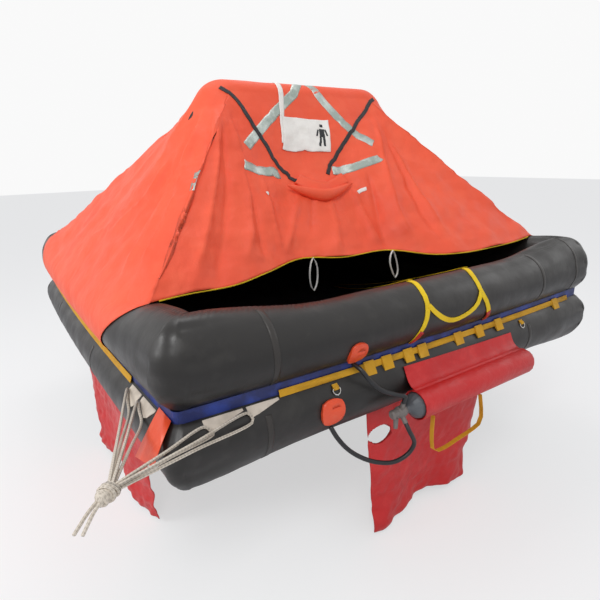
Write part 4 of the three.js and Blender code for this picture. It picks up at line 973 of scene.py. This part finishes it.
@dataclass
class Canopy:
    """The orange canopy: one sheet over the arch, down to the tubes and round them."""

    shop: Workshop
    cover: float = 4.0  # how far the cloth lies off the arch
    skirt_gap: float = 3.2
    thickness: float = 1.2
    leaves_front: float = 74.0
    leaves_back: float = 42.0
    shoulder_share: float = 0.09
    sag: float = 45.0
    skirt_end: float = -50.0
    near_top: float = -893.0
    near_seam: float = -600.0
    right_top: float = -985.0
    corner_inset: float = 4.0  # how far short of a side's end its panel meets the next
    side_sag: float = 3.4  # times the sag, on the panels that come down on a side
    arch_rows: int = 22
    free_rows: int = 86
    tube_rows: int = 24
    hem: Points = field(default_factory=lambda: np.zeros((0, 3)))

    def __post_init__(self) -> None:
        """Works out the front hem's line."""
        points = [
            on_tube(Ring.UPPER, LEFT, -self.near_top, 88, 5),
            (-1000, -872, 549),
            (-779, -850, 545),
            (-590, -790, 558),
            (-340, -700, 575),
            (-125, -750, 560),
            (166, -765, 562),
            (360, -915, 536),
            (515, -985, 536),
            (744, -1000, 540),
            (960, -1000, 548),
            on_tube(Ring.UPPER, RIGHT, self.right_top, 92, 5),
        ]
        self.hem = catmull(points, 600)

    def hem_at(self, u: Points) -> Points:
        """Points on the front hem, at shares u along it."""
        at = np.asarray(u, float) * (len(self.hem) - 1)
        return np.stack([np.interp(at, np.arange(len(self.hem)), self.hem[:, k]) for k in range(3)], -1)

    def front(self, columns: int = 170) -> Points:
        """Grid of the front panel: round the arch first, then straight to the hem with a sag."""
        u = np.linspace(0, 1, columns)
        skin = ARCH_R + self.cover
        psi = np.linspace(0, self.leaves_front, self.arch_rows + 1)[:, None] * DEG
        x = mix(-LEVEL_END, LEVEL_END, u)[None]
        y, z = ARCH_Y - skin * np.sin(psi), ARCH_AXIS_Z + skin * np.cos(psi)
        over = np.stack(np.broadcast_arrays(x, y, z), -1)
        t = np.linspace(0, 1, self.free_rows + 1)[1:, None]
        sag = self.sag * 4 * t * (1 - t) * (1 - (2 * u[None] - 1) ** 6)
        free = mix(over[-1][None], self.hem_at(u)[None], t[..., None])
        return np.concatenate([over, free + np.stack([0 * sag, sag, -sag * 0.5], -1)])

    def _landing(self, side: Side, along: Points, origin: Points) -> Points:
        """Angle at which a straight run from origin touches the upper tube, in degrees."""
        share = np.minimum(1, np.abs(along) / (side.half + 27))
        wide = TUBE_R + self.skirt_gap
        tall = wide + CORNER_SWELL * swell(side, share)
        bow = side.bow * (1 - share**2)
        a = origin[:, 0] * side.normal[0] + origin[:, 1] * side.normal[1] - (side.out + bow)
        b = (origin[:, 2] - UPPER_Z) * wide / tall
        return (np.arctan2(b, a) - np.arccos(np.minimum(1, wide / np.hypot(a, b)))) / DEG

    def _down(
        self, side: Side, over: Points, top: Points, skirt: Points, edge: Points, slack: Points
    ) -> Points:
        """Rows from the arch to the tube and round it, under the rows over the arch.

        Args:
            side: The side that the panel comes down on.
            over: Rows over the arch.
            top: Places along the side where it meets the tube.
            skirt: Places along the side where its skirt ends.
            edge: How far each column is drawn to the tube's top, from 0 to 1.
            slack: How much each column sags, from 0 to 1.

        Returns:
            The whole grid.
        """
        start = over[-1]
        meet = mix(self._landing(side, top, start), 90.0, edge)
        landing = on_tube(Ring.UPPER, side, top, meet, self.skirt_gap)
        t = np.linspace(0, 1, self.free_rows + 1)[1:, None]
        sag = slack[None] * self.sag * self.side_sag * t * (1 - t) ** 2
        free = mix(start[None], landing[None], t[..., None]) - sag[..., None] * np.array([*side.normal, 0.6])
        s = np.linspace(0, 1, self.tube_rows + 1)[1:, None]
        place = mix(top[None], skirt[None], smooth(s))
        round_ = on_tube(Ring.UPPER, side, place, mix(meet[None], self.skirt_end, s), self.skirt_gap)
        return np.concatenate([over, free, round_])

    def end(self, sign: float) -> Points:
        """Grid of an end panel, from its front edge to its back edge."""
        side = LEFT if sign < 0 else RIGHT
        front = self.near_top if sign < 0 else self.right_top
        back = HALF_Y - self.corner_inset
        n = self.arch_rows
        aside = np.concatenate([np.linspace(-1, 0, n + 1), np.linspace(0, 1, n + 1)[1:]])
        y = np.where(aside < 0, mix(ARCH_Y, front, -aside), mix(ARCH_Y, back, aside))
        low_front = self.near_seam if sign < 0 else front
        skirt = np.where(aside < 0, mix(ARCH_Y, low_front, -aside), y)
        psi = np.where(aside < 0, aside * self.leaves_front, aside * self.leaves_back) * DEG
        skin = ARCH_R + self.cover
        radial, across = skin * np.cos(psi), skin * np.sin(psi)
        edge_low = on_tube(Ring.UPPER, side, y * side.travel[1], 90.0, self.skirt_gap)
        shoulder = arch_bend(sign, 0, radial, across)
        near = (aside < 0)[:, None]
        corner, far = np.where(near, shoulder[0], shoulder[-1]), np.where(near, edge_low[0], edge_low[-1])
        t = np.linspace(0, 1, n + 1)[:, None]
        over = arch_bend(sign, t * LEG_SLOPE, radial[None], across[None])
        drawn = mix(corner[None], far[None], (t * self.shoulder_share)[..., None])
        over = mix(over, drawn, (aside[None] ** 4 * smooth(np.minimum(1, t * 6)))[..., None])
        slack = 4 * np.abs(aside) * (1 - np.abs(aside))
        return self._down(side, over, y * side.travel[1], skirt * side.travel[1], aside**2, slack)

    def back(self, columns: int = 110) -> Points:
        """Grid of the back panel, from the ridge to the skirt's end."""
        x = np.linspace(-1, 1, columns)
        skin = ARCH_R + self.cover
        psi = np.linspace(0, self.leaves_back, self.arch_rows + 1)[:, None] * DEG
        y, z = ARCH_Y + skin * np.sin(psi), ARCH_AXIS_Z + skin * np.cos(psi)
        over = np.stack(np.broadcast_arrays(x[None] * LEVEL_END, y, z), -1)
        tube_x = -x * (HALF_X - self.corner_inset)
        return self._down(BACK, over, tube_x, tube_x, x**4, 1 - x**4)

    def build(self) -> None:
        """Adds the sheet: the four panels meet edge to edge, are creased and get their thickness."""
        panels = [self.front(), self.back(), self.end(-1), self.end(1)]
        self._meet(panels)
        faces, points, start = [], [], 0
        for grid in panels:
            faces.append(grid_faces(*grid.shape[:2]) + start)
            points.append(grid.reshape(-1, 3))
            start += len(points[-1])
        points, faces = merge(np.vstack(points), np.vstack(faces), 0.5)
        normals = outward_normals(points, faces)
        self.shop.remember("smooth_canopy", points, faces)
        points = Folds(self.shop).crease(points, normals, self.free(points))
        self.shop.remember("canopy", points, faces)
        obj = mesh_object("canopy", points, faces.tolist())
        face_outwards(obj)
        wall = obj.modifiers.new("cloth", "SOLIDIFY")
        wall.thickness = self.thickness * MM
        wall.offset = 0.0
        nodes = ("canopy_front", "canopy_back", "canopy_left", "canopy_right")
        self.shop.keep(obj, "coated_nylon_orange", *nodes, slot="canopy_cloth")

    def _meet(self, panels: list[Points]) -> None:
        """Gives neighbouring panels the same points along their shared edges."""
        front, back, left, right = panels
        n = self.arch_rows
        left[0, : n + 1] = front[: n + 1, 0][::-1]
        right[0, : n + 1] = front[: n + 1, -1][::-1]
        left[0, n:] = back[: n + 1, 0]
        right[0, n:] = back[: n + 1, -1]
        rows = slice(n, n + self.free_rows + 1)
        for panel, column in ((left, 0), (right, -1)):
            panel[n:, -1] = back[n:, column]
            front[rows, column] = panel[rows, 0]

    def free(self, points: Points) -> Points:
        """How free the cloth is to fold at each point: not where it lies on the arch or the tubes."""
        near_arch = 1 - smooth((ARCH_AXIS_Z - 12 - points[:, 2]) / 90)
        near_tube = 1 - smooth((points[:, 2] - (UPPER_Z + TUBE_R + 8)) / 60)
        front = (points[:, 1] < -690) & (np.abs(points[:, 0]) < HALF_X - 60)
        low = np.where(front, 0.15, 1.0) * near_tube
        return np.clip(1 - 0.9 * near_arch - 0.9 * low, 0.05, 1)


def merge(points: Points, faces: Points, near: float) -> tuple[Points, Points]:
    """Makes points that lie together one point, and drops faces that lose a corner to it."""
    keys = np.round(points / near).astype(np.int64)
    _, first, number = np.unique(keys, axis=0, return_index=True, return_inverse=True)
    faces = number.ravel()[faces]
    whole = np.array([len(set(f)) == 4 for f in faces.tolist()])
    return points[first], faces[whole]


def outward_normals(points: Points, faces: Points) -> Points:
    """Normals at points, from the faces round them, all pointing away from the raft's middle."""
    cross = np.cross(points[faces[:, 2]] - points[faces[:, 0]], points[faces[:, 3]] - points[faces[:, 1]])
    middle = points[faces].mean(1) - MIDDLE
    cross = np.where((cross * middle).sum(-1, keepdims=True) < 0, -cross, cross)
    total = np.zeros_like(points)
    for k in range(4):
        np.add.at(total, faces[:, k], cross)
    return unit(total)


@dataclass
class Folds:
    """Folds of the canopy. Each has its places in the photograph, its half width and its height."""

    shop: Workshop
    strength: float = 1.8
    most: float = 38.0
    waves: tuple[tuple[int, float, float], ...] = ((11, 260, 7.0), (12, 110, 3.6), (13, 45, 1.3))
    back_folds: int = 9
    end_folds: int = 10
    seen: tuple[tuple[tuple[tuple[int, int], ...], float, float], ...] = (
        (((204, 110), (180, 170), (150, 230), (118, 284)), 26, 15),
        (((198, 112), (168, 180), (130, 250)), 22, -12),
        (((190, 150), (172, 210), (134, 286)), 24, 13),
        (((212, 118), (200, 180), (172, 240), (152, 288)), 26, -14),
        (((215, 112), (216, 160), (206, 230), (192, 284)), 26, 15),
        (((220, 112), (228, 180), (224, 240), (216, 284)), 24, -12),
        (((228, 112), (244, 170), (250, 220), (246, 268)), 26, 12),
        (((238, 150), (256, 210), (266, 262)), 22, -11),
        (((262, 176), (272, 220), (284, 258)), 20, 10),
        (((300, 196), (292, 226), (285, 256)), 20, 11),
        (((312, 198), (312, 230), (306, 258)), 18, -9),
        (((330, 196), (336, 228), (338, 254)), 20, 11),
        (((352, 186), (366, 220), (380, 246)), 22, 12),
        (((366, 170), (376, 205), (384, 244)), 20, -10),
        (((376, 120), (386, 170), (400, 215), (418, 246)), 24, 14),
        (((384, 128), (402, 170), (424, 215), (446, 246)), 22, -11),
        (((392, 142), (414, 186), (446, 232)), 22, 12),
        (((170, 160), (140, 205), (104, 240)), 24, 12),
        (((176, 150), (152, 200), (122, 250)), 20, -10),
        (((140, 196), (112, 224), (84, 244)), 20, 9),
    )

    def crease(self, points: Points, normals: Points, free: Points) -> Points:
        """Moves the cloth along its normals: every fold's ridge or valley, then small waves.

        Args:
            points: The cloth's points.
            normals: Their outward normals.
            free: How free each point is to move.

        Returns:
            The moved points.
        """
        height = np.zeros(len(points))
        for places, half, tall in self.seen:
            hits = [self.shop.cast("smooth_canopy", px, py) for px, py in places]
            hits = [h for h in hits if h is not None]
            if len(hits) > 1:
                height += fold(points, catmull(hits, 24), half, tall)
        for start, end, half, tall in self._unseen():
            height += fold(points, np.linspace(start, end, 14), half, tall)
        height = height * self.strength
        height += layered(points, self.waves)
        return points + normals * (np.clip(height, -self.most, self.most) * free)[:, None]

    def _unseen(self) -> list[tuple[Points, Points, float, float]]:
        """Folds of the sides that the photograph doesn't show: from the shoulders to the tubes."""
        rng = np.random.default_rng(5)
        lines = []
        for sign in (1, -1):
            top = np.array([sign * LEVEL_END, ARCH_Y + 60, ARCH_AXIS_Z + 20])
            for share in np.linspace(0.02, 0.98, self.back_folds):
                low = np.array([sign * mix(HALF_X - 120, 0.25 * HALF_X, share), HALF_Y - 40, UPPER_Z + 160])
                low = low + rng.normal(0, 12, 3)
                lines.append((top, low, 30 * rng.uniform(0.7, 1.3), rng.uniform(8, 15)))
            for share in np.linspace(0.05, 0.95, self.end_folds):
                low = np.array([sign * (HALF_X + 20), mix(-760, HALF_Y - 90, share), UPPER_Z + 150])
                low = low + rng.normal(0, 12, 3)
                lines.append((top, low, 28 * rng.uniform(0.7, 1.3), rng.uniform(-13, 13)))
        return lines


def fold(points: Points, line: Points, half: float, tall: float) -> Points:
    """Height of one fold at points: a sharp crest over its line that fades out at both ends.

    Args:
        points: The points.
        line: The fold's line.
        half: Its half width.
        tall: Its height; below zero for a valley.

    Returns:
        A height for each point.
    """
    best = np.full(len(points), 1e9)
    share = np.zeros(len(points))
    low, high = line.min(0) - 3 * half, line.max(0) + 3 * half
    near = np.flatnonzero(((points > low) & (points < high)).all(1))
    total = len(line) - 1
    for k in range(total):
        a, run = line[k], line[k + 1] - line[k]
        t = np.clip((points[near] - a) @ run / max(1e-9, run @ run), 0, 1)
        away = np.linalg.norm(points[near] - a - t[:, None] * run, axis=1)
        closer = away < best[near]
        best[near[closer]] = away[closer]
        share[near[closer]] = (k + t[closer]) / total
    ends = smooth(share / 0.18) * smooth((1 - share) / 0.18)
    width = half * (0.55 + 0.75 * share)
    return tall * np.exp(-((best / width) ** 1.25)) * (0.25 + 0.75 * ends) * (best < 1e8)


@dataclass
class CanopyTrim:
    """Tapes, zips, notice panel, strap and small pieces sewn to the canopy."""

    shop: Workshop
    tape_width: float = 50.0
    zip_width: float = 22.0
    hem_line_r: float = 3.0
    flap_width: float = 66.0
    flap_thick: float = 14.0
    tab_width: float = 20.0
    tab_half: float = 22.0
    # Each stroke's two ends on the panel, and its width
    figure: tuple[tuple[tuple[float, float], tuple[float, float], float], ...] = (
        ((0, 36), (0, -12), 32),
        ((-9, -10), (-13, -68), 13),
        ((9, -10), (13, -68), 13),
        ((-21, 32), (-32, -8), 9),
        ((21, 32), (32, -8), 9),
        ((0, 48), (0, 66), 19),
    )

    def build(self) -> None:
        """Adds each piece, laid on the creased cloth."""
        tapes = (
            ((-3, -192, 1403), (-247, -306, 1246), (-446, -409, 1105)),
            ((57, -193, 1402), (156, -285, 1275), (250, -368, 1162), (349, -421, 1089)),
            ((-503, -475, 1015), (-390, -484, 1004), (-273, -492, 992)),
            ((63, -492, 992), (210, -489, 998), (355, -484, 1002)),
            ((-821, -540, 1050), (-830, -650, 1040), (-838, -768, 1027)),
        )
        band = self.shop.band
        made = [band(f"tape_{k}", "canopy", line, self.tape_width, 0.8, 0.9) for k, line in enumerate(tapes)]
        self.shop.keep(join("reflective_tapes", made), "reflective_tape", slot="white_tape")
        zips = (
            ((-494, -222, 1362), (-435, -263, 1307), (-354, -370, 1159),
             (-262, -476, 1013), (-199, -513, 961)),
            ((495, -234, 1346), (291, -337, 1204), (122, -427, 1080), (1, -501, 978)),
        )
        made = [band(f"zip_{k}", "canopy", line, self.zip_width, 1.6, 1.9, 9) for k, line in enumerate(zips)]
        self.shop.keep(join("entrance_zips", made), "zip_black", slot="navy_fabric")
        line = ((-142, -183, 1415), (-168, -270, 1296), (-206, -395, 1124))
        strap = band("ridge_strap", "canopy", line, 30, 1.2, 2.6)
        self.shop.keep(strap, "cotton_white", slot="white_tape")
        self._notice()
        self._figure()
        self._small()

    def _notice(self) -> None:
        """The blank notice panel, a sheet laid on the canopy between four corners."""
        corners = np.array(
            [[-171, -303, 1251], [114, -316, 1233], [70, -429, 1077], [-221, -417, 1094]], float
        )
        u, v = np.meshgrid(np.linspace(0, 1, 40), np.linspace(0, 1, 26))
        top = mix(corners[0], corners[1], u[..., None])
        low = mix(corners[3], corners[2], u[..., None])
        laid, normals = self.shop.lay("canopy", mix(top, low, v[..., None]), 4.6)
        panel = shell("notice_cloth", laid, laid + normals)
        self.shop.keep(panel, "cotton_white", "notice_panel", slot="white_tape")

    def _small(self) -> None:
        """The crumpled flap pocket between the zips, two white tabs and the yellow line in the hem."""
        seen = ((297, 180), (309, 186), (321, 189), (333, 186), (344, 179))  # in pixels of the photograph
        line = [p for p in (self.shop.cast("canopy", *place) for place in seen) if p is not None]
        pocket = self.shop.band("flap_pocket", "canopy", line, self.flap_width, self.flap_thick, 1.5, 6)
        self.shop.keep(pocket, "coated_nylon_orange", slot="canopy_cloth")
        tabs = []
        for x, y, z in ((-395, -561, 896), (169, -576, 875)):
            ends = [(x - self.tab_half, y, z), (x, y, z - 2), (x + self.tab_half, y, z)]
            tabs.append(self.shop.band(f"tab_{len(tabs)}", "canopy", ends, self.tab_width, 1, 1.2, 6))
        self.shop.keep(join("hem_tabs", tabs), "cotton_white", slot="white_tape")
        hem = Canopy(self.shop).hem_at(np.linspace(0.02, 0.98, 160)) + [0, -2.5, -3]
        line = round_cord("hem_line", hem, self.hem_line_r, 8)
        self.shop.keep(line, "webbing_bright", slot="yellow_webbing")

    def _figure(self) -> None:
        """A plain standing figure on the notice panel, made of straight strokes."""
        middle = np.array([41.0, -368, 1161])
        right, up = np.array([0.998, -0.041, -0.058]), np.array([0.223, 0.572, 0.789])
        made = []
        for (x0, z0), (x1, z1), width in self.figure:
            places = ((x0, z0), ((x0 + x1) / 2, (z0 + z1) / 2), (x1, z1))
            ends = [middle + right * x + up * z for x, z in places]
            made.append(self.shop.band(f"stroke_{len(made)}", "canopy", ends, width, 0.5, 6.4, 8))
        self.shop.keep(join("notice_figure", made), "print_black", slot="navy_fabric")


@dataclass
class Cords:
    """Bridle ropes, their knot and tails, and the two inflation hoses."""

    shop: Workshop
    meet: tuple[float, float, float] = (-1438, -1399, 209)
    knot: tuple[float, float, float] = (-1474, -1424, 204)
    knot_length: float = 44.1  # between the two
    on_patch: float = 138.8
    spread: float = 10.4  # between neighbouring ropes where they meet
    stack: float = 5.4  # half the height between a rope's two ends
    head_x: float = -354.4  # where both hoses meet the operating head
    spigot_reach: float = 49.0

    def build(self) -> None:
        """Adds every cord along the CAD's route."""
        # Side, place of the patch's seam and of its tip, and how far down the tip is
        patches = (
            (LEFT, 862, 952, 22),
            (LEFT, 985, 1078, 28),
            (FRONT, -1128, -1106, 33),
            (FRONT, -972, -966, 32),
        )
        self._knot()
        for k, (side, seam, tip, low) in enumerate(patches):
            self._rope(k, side, seam, tip, low)
        self._tails()
        self._hoses()

    def _lay(
        self,
        name: str,
        node: str,
        points: list[Points],
        radius: float,
        finish: str,
        slot: str,
        far_end: str,
        stiff: str,
    ) -> None:
        """One cord along its route: its mesh and its finish.

        Args:
            name: The piece's name.
            node: The CAD node that it stands for.
            points: The points of its route.
            radius: Its radius.
            finish: The name of its finish.
            slot: Not used.
            far_end: Not used.
            stiff: Not used.
        """
        path = catmull(points, 60)
        piece = round_cord(name, path, radius, 14)
        self.shop.keep(piece, finish, node, slot=slot)

    def _rope(self, k: int, side: Side, seam: float, tip: float, low: float) -> None:
        """One rope: from the knot through a patch's sleeve and back to the knot."""
        meet = np.array(self.meet, float)
        across = np.array([-0.67, 0.74, 0]) * (1.5 - k) * self.spread
        first, last = meet + across + [0, 0, self.stack], meet + across - [0, 0, self.stack]
        a, middle, b = (
            on_tube(Ring.LOWER, side, mix(seam, tip, t), mix(41, low - 3, t), self.on_patch - TUBE_R)
            for t in (0.0, 0.5, 1.0)
        )
        points = [first, (first + a) / 2, a, middle, b, (last + b) / 2, last]
        names = (f"bridle_line_{k + 1}", f"bridle_rope_{k + 1}")
        self._lay(*names, points, ROPE_R, "braided_rope", "rope", "knot", "limp")

    def _knot(self) -> None:
        """The knot: turns of rope about a core, tightest at both ends."""
        meet, end = np.array(self.meet, float), np.array(self.knot, float)
        along = unit(end - meet)
        side = unit(np.cross(along, (0, 0, 1.0)))
        up = np.cross(side, along)
        made = []
        for k, (t, r) in enumerate(((0.1, 20), (0.36, 24), (0.7, 24), (1.05, 19), (1.25, 12))):
            a = np.linspace(0, 2 * math.pi, 40)[:, None]
            loop = meet + along * (t * self.knot_length) + (side * np.cos(a) + up * np.sin(a)) * (r - 2)
            loop = loop + along * 6 * np.sin(a + k)
            made.append(round_cord(f"turn_{k}", loop, ROPE_R + 0.5, 12))
        core = meet + along * np.linspace(4, 60, 12)[:, None]
        radii = np.interp(np.linspace(0, 1, 12), [0, 0.3, 0.8, 1], [16, 21, 19, 9])
        made.append(round_cord("core", core, radii, 20))
        self.shop.keep(join("bridle_hitch", made), "braided_rope", "bridle_knot", slot="rope")

    def _tails(self) -> None:
        """The two tails that hang out of the knot."""
        meet, end = np.array(self.meet, float), np.array(self.knot, float)
        along = unit(end - meet)
        start = meet + along * (1.3 * self.knot_length + 3.8)
        aside = unit(np.cross(along, (0, 0, 1.0)))
        for k, lean in enumerate((-1, 1)):
            points = [
                start + aside * self.stack * lean,
                start + aside * 8 * lean + along * 30 - [0, 0, 8],
                start + aside * 15 * lean + along * 74 - [0, 0, 30 + 4 * lean],
            ]
            names = (f"bridle_end_{k + 1}", f"bridle_tail_{k + 1}")
            self._lay(*names, points, ROPE_R, "braided_rope", "rope", "bare", "limp")

    def _hoses(self) -> None:
        """The hoses from the rings' valves to the operating head."""

        def spigot(turn: float, past: float) -> Points:
            """A point past a spigot's end."""
            reach = self.spigot_reach + past
            off = np.array([self.head_x, reach * math.cos(turn * DEG), reach * math.sin(turn * DEG)])
            return off + [0, CYLINDER_Y, CYLINDER_Z]

        def before(x: float, off: float, z: float) -> Points:
            """A point before the front tubes' foremost line."""
            return np.array([x, -(HALF_Y + FRONT_BOW + TUBE_R + off), z])

        upper = [on_tube(Ring.UPPER, FRONT, -516, -50.7, 12), before(-505, -5, 258), before(-486, 10, 226)]
        upper += [before(-462, 20, 196), before(-430, 35, 168), before(-392, 60, 152)]
        upper += [spigot(108, 30), spigot(108, 12), spigot(108, 0.4)]
        lower = [on_tube(Ring.LOWER, FRONT, -652, -26, 11), before(-640, 12, 30), before(-604, 32, -24)]
        lower += [before(-548, 52, -74), before(-480, 70, -112)]
        lower += [before(-410, 88, -128), before(-350, 102, -108)]
        lower += [before(-325, 110, -66), spigot(230, 32), spigot(230, 14), spigot(230, 0.4)]
        for ring, points in (("upper", upper), ("lower", lower)):
            names = (f"{ring}_hose", f"inflation_hose_{ring}")
            self._lay(*names, points, HOSE_R, "rubber_black", "hose_rubber", "object", "medium")


@dataclass
class BallastPockets:
    """The four red pockets that hang below the lower tube."""

    shop: Workshop
    drop: float = 640.0
    front_width: float = 800.0
    end_width: float = 1000.0
    thick: float = 11.0
    hole: tuple[float, float, float, float] = (-323, -125, 65, 45)  # place along, height, half sizes

    def build(self) -> None:
        """Adds each pocket over its CAD node."""
        for name, side, middle, width, twist in (
            ("front", FRONT, 0, self.front_width, 0.4),
            ("left", LEFT, 150, self.end_width, 1.3),
            ("right", RIGHT, 0, self.end_width, 2.2),
            ("back", BACK, 0, self.front_width, 3.1),
        ):
            self._pocket(name, side, middle, width, twist)

    def _pocket(self, name: str, side: Side, middle: float, width: float, twist: float) -> None:
        """One pocket: two layers joined at their edges, waving outwards and hanging in a bowed hem."""
        u, v = np.meshgrid(np.linspace(0, 1, 150), np.linspace(0, 1, 120))
        along = middle + (u - 0.5) * width * mix(1, 0.84, v)
        z = mix(0, -self.drop, v) - 18 * v * np.cos(u * 5 + twist) + 12
        kept = None
        if name == "front":
            along, z, kept = self._cut_hole(middle, along, z)
        wave = 26 * v * np.sin(u * 9 + twist) + 16 * v * np.cos(u * 4 - twist)
        layer = beside(side, along, mix(40, 10, v) + wave, z)
        normal = grid_normals(layer)
        facing = np.array([*side.normal, 0.0])
        normal = np.where((normal @ facing)[..., None] < 0, -normal, normal)
        ripple = Noise(21 + len(name), 170)(layer) * 9 * v
        ripple = ripple + Noise(31, 60)(layer) * 3.0 * (0.3 + v)
        full = np.minimum(1, 6 * np.minimum(np.minimum(u, 1 - u), np.minimum(v * 2 + 0.1, 1 - v))) ** 0.5
        half = 1.5 + self.thick / 2 * full + Noise(41, 45)(layer) * 1.2 * full
        under = self._clear_of_tube(side, layer + normal * (ripple - half)[..., None])
        over = self._clear_of_tube(side, layer + normal * (ripple + half)[..., None])
        obj = shell(f"ballast_pocket_{name}", under, over, kept)
        self.shop.keep(obj, "nylon_red", f"pocket_{name}", slot="red_cloth")

    def _cut_hole(self, middle: float, along: Points, z: Points) -> tuple[Points, Points, Points]:
        """Leaves out the cells inside the water hole and moves its edge onto an ellipse."""
        cx, cz, a, b = self.hole
        reach = np.hypot((along - middle - cx) / a, (z - cz) / b)
        inside = reach < 1
        kept = ~(inside[:-1, :-1] & inside[1:, :-1] & inside[:-1, 1:] & inside[1:, 1:])
        scale = np.where(inside & (reach > 0.78), 1 / np.maximum(reach, 1e-6), 1)
        return middle + cx + (along - middle - cx) * scale, cz + (z - cz) * scale, kept

    @staticmethod
    def _clear_of_tube(side: Side, grid: Points) -> Points:
        """Moves points that would lie in the lower tube out to its skin."""
        plan = grid[..., 0] * side.normal[0] + grid[..., 1] * side.normal[1]
        travel = grid[..., 0] * side.travel[0] + grid[..., 1] * side.travel[1]
        line = side.out + side.bow * (1 - np.minimum(1, np.abs(travel) / side.half) ** 2)
        dx, dz = plan - line, grid[..., 2] - LOWER_Z
        scale = np.maximum(1, (TUBE_R + 1.5) / np.maximum(np.hypot(dx, dz), 1e-6)) - 1
        moved = grid.copy()
        moved[..., 0] += side.normal[0] * dx * scale
        moved[..., 1] += side.normal[1] * dx * scale
        moved[..., 2] += dz * scale
        return moved


@dataclass
class LadderSheaths:
    """Red sheaths over the lower ends of the boarding ladder's straps."""

    shop: Workshop
    width: float = 27.0
    # Places along the front and angles round the tube
    runs: tuple[tuple[tuple[float, float], ...], ...] = (
        ((-180, -20), (-197, -35), (-204, -50)),
        ((262, -20), (278, -35), (285, -50)),
    )

    def build(self) -> None:
        """Adds both, each a band over its strap on the upper tube."""
        made = []
        for run in self.runs:
            points = [on_tube(Ring.UPPER, FRONT, x, degrees) for x, degrees in run]
            made.append(self.shop.band(f"sheath_{len(made)}", "upper", points, self.width, 3.0, 4.4, 8))
        self.shop.keep(join("ladder_sheaths", made), "vinyl_red", slot="red_cloth")


@dataclass
class Fitted:
    """Pieces that keep the CAD's shape: copies with merged points, shaded edges and a cloth finish."""

    shop: Workshop
    soft: tuple[tuple[str, str, str, str], ...] = (
        ("floor", "inflated_floor", "coated_nylon_floor", "floor_fabric"),
        ("arch_tube", "canopy_arch", "coated_nylon_black", "tube_fabric"),
        ("joining_strip", "seam_strip", "coated_nylon_navy", "navy_fabric"),
        ("arch_cuff_left", "arch_cuff_near", "seam_tape_black", "tube_fabric"),
        ("arch_cuff_right", "arch_cuff_far", "seam_tape_black", "tube_fabric"),
        ("flap_roll", "rolled_flap", "coated_nylon_orange", "canopy_cloth"),
        ("hem_tie_left", "hem_loop_left", "cotton_white", "white_tape"),
        ("hem_tie_right", "hem_loop_right", "cotton_white", "white_tape"),
        *(
            (f"lifeline_{side}", f"grab_line_{side}", "webbing_yellow", "yellow_webbing")
            for side in ("front", "left", "right", "back")
        ),
        *(
            (f"bridle_patch_{k}", f"bridle_sleeve_{k}", "patch_cloth_beige", "patch_fabric")
            for k in range(1, 5)
        ),
        ("bridle_tag", "corner_tag", "vinyl_orange", "orange_cover"),
        ("valve_cover_upper", "valve_flap_upper", "vinyl_orange", "orange_cover"),
        ("valve_cover_lower", "valve_flap_lower", "vinyl_orange", "orange_cover"),
        ("cylinder_pouch", "bottle_pouch", "nylon_red", "red_cloth"),
        ("step_loop", "step_strap", "webbing_yellow", "yellow_webbing"),
        ("boarding_ladder", "boarding_straps", "webbing_bright", "yellow_webbing"),
        ("ladder_strap_1", "inner_strap_1", "webbing_bright", "yellow_webbing"),
        ("ladder_strap_2", "inner_strap_2", "webbing_bright", "yellow_webbing"),
        ("floor_patch", "floor_anchor", "seam_tape_black", "tube_fabric"),
        ("ring_tab_1", "ring_strap_1", "webbing_yellow", "yellow_webbing"),
        ("ring_tab_2", "ring_strap_2", "webbing_yellow", "yellow_webbing"),
    )
    hard: tuple[tuple[str, str], ...] = (
        ("d_ring_1", "stainless_steel"),
        ("d_ring_2", "stainless_steel"),
        ("gas_cylinder", "paint_grey"),
        ("cylinder_head", "braided_sock"),
    )

    def build(self) -> None:
        """Adds the copies, and gives the metal nodes their finish."""
        for node, name, finish, slot in self.soft:
            self._copy(node, name, finish, slot)
        for node, finish in self.hard:
            data = bpy.data.objects[node].data
            data.materials.clear()
            data.materials.append(self.shop.materials[finish])

    def _copy(self, node: str, name: str, finish: str, slot: str) -> None:
        """One copy: points merged, a flat map from its own axes, corners shaded by their angle."""
        mesh = bpy.data.objects[node].data.copy()
        work = bmesh.new()
        work.from_mesh(mesh)
        bmesh.ops.remove_doubles(work, verts=work.verts, dist=2e-5)
        bmesh.ops.recalc_face_normals(work, faces=work.faces)
        work.to_mesh(mesh)
        work.free()
        mesh.polygons.foreach_set("use_smooth", [True] * len(mesh.polygons))
        mesh.set_sharp_from_angle(angle=38 * DEG)
        obj = bpy.data.objects.new(name, mesh)
        bpy.context.scene.collection.objects.link(obj)
        flat_map(mesh)
        self.shop.keep(obj, finish, node, slot=slot)


def flat_map(mesh: bpy.types.Mesh) -> None:
    """Gives a mesh a map in metres: height over the run along X and Y."""
    loops = np.zeros(len(mesh.loops), np.int32)
    mesh.loops.foreach_get("vertex_index", loops)
    points = np.zeros(len(mesh.vertices) * 3, np.float32)
    mesh.vertices.foreach_get("co", points)
    points = points.reshape(-1, 3)
    uv = np.stack([points[:, 2], points[:, 0] + points[:, 1]], -1)
    layer = mesh.uv_layers.new(name="along")
    layer.data.foreach_set("uv", uv[loops].ravel())


def main() -> None:
    """Builds the scene."""
    logging.basicConfig(level=logging.INFO, format="%(message)s")
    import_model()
    shop = Workshop({finish.name: finish.build() for finish in FINISHES})
    CAMERA.build()
    Cords(shop).build()
    Studio().build()
    TubeRings(shop).build()
    Canopy(shop).build()
    CanopyTrim(shop).build()
    BallastPockets(shop).build()
    LadderSheaths(shop).build()
    Fitted(shop).build()


if __name__ == "__main__":
    main()
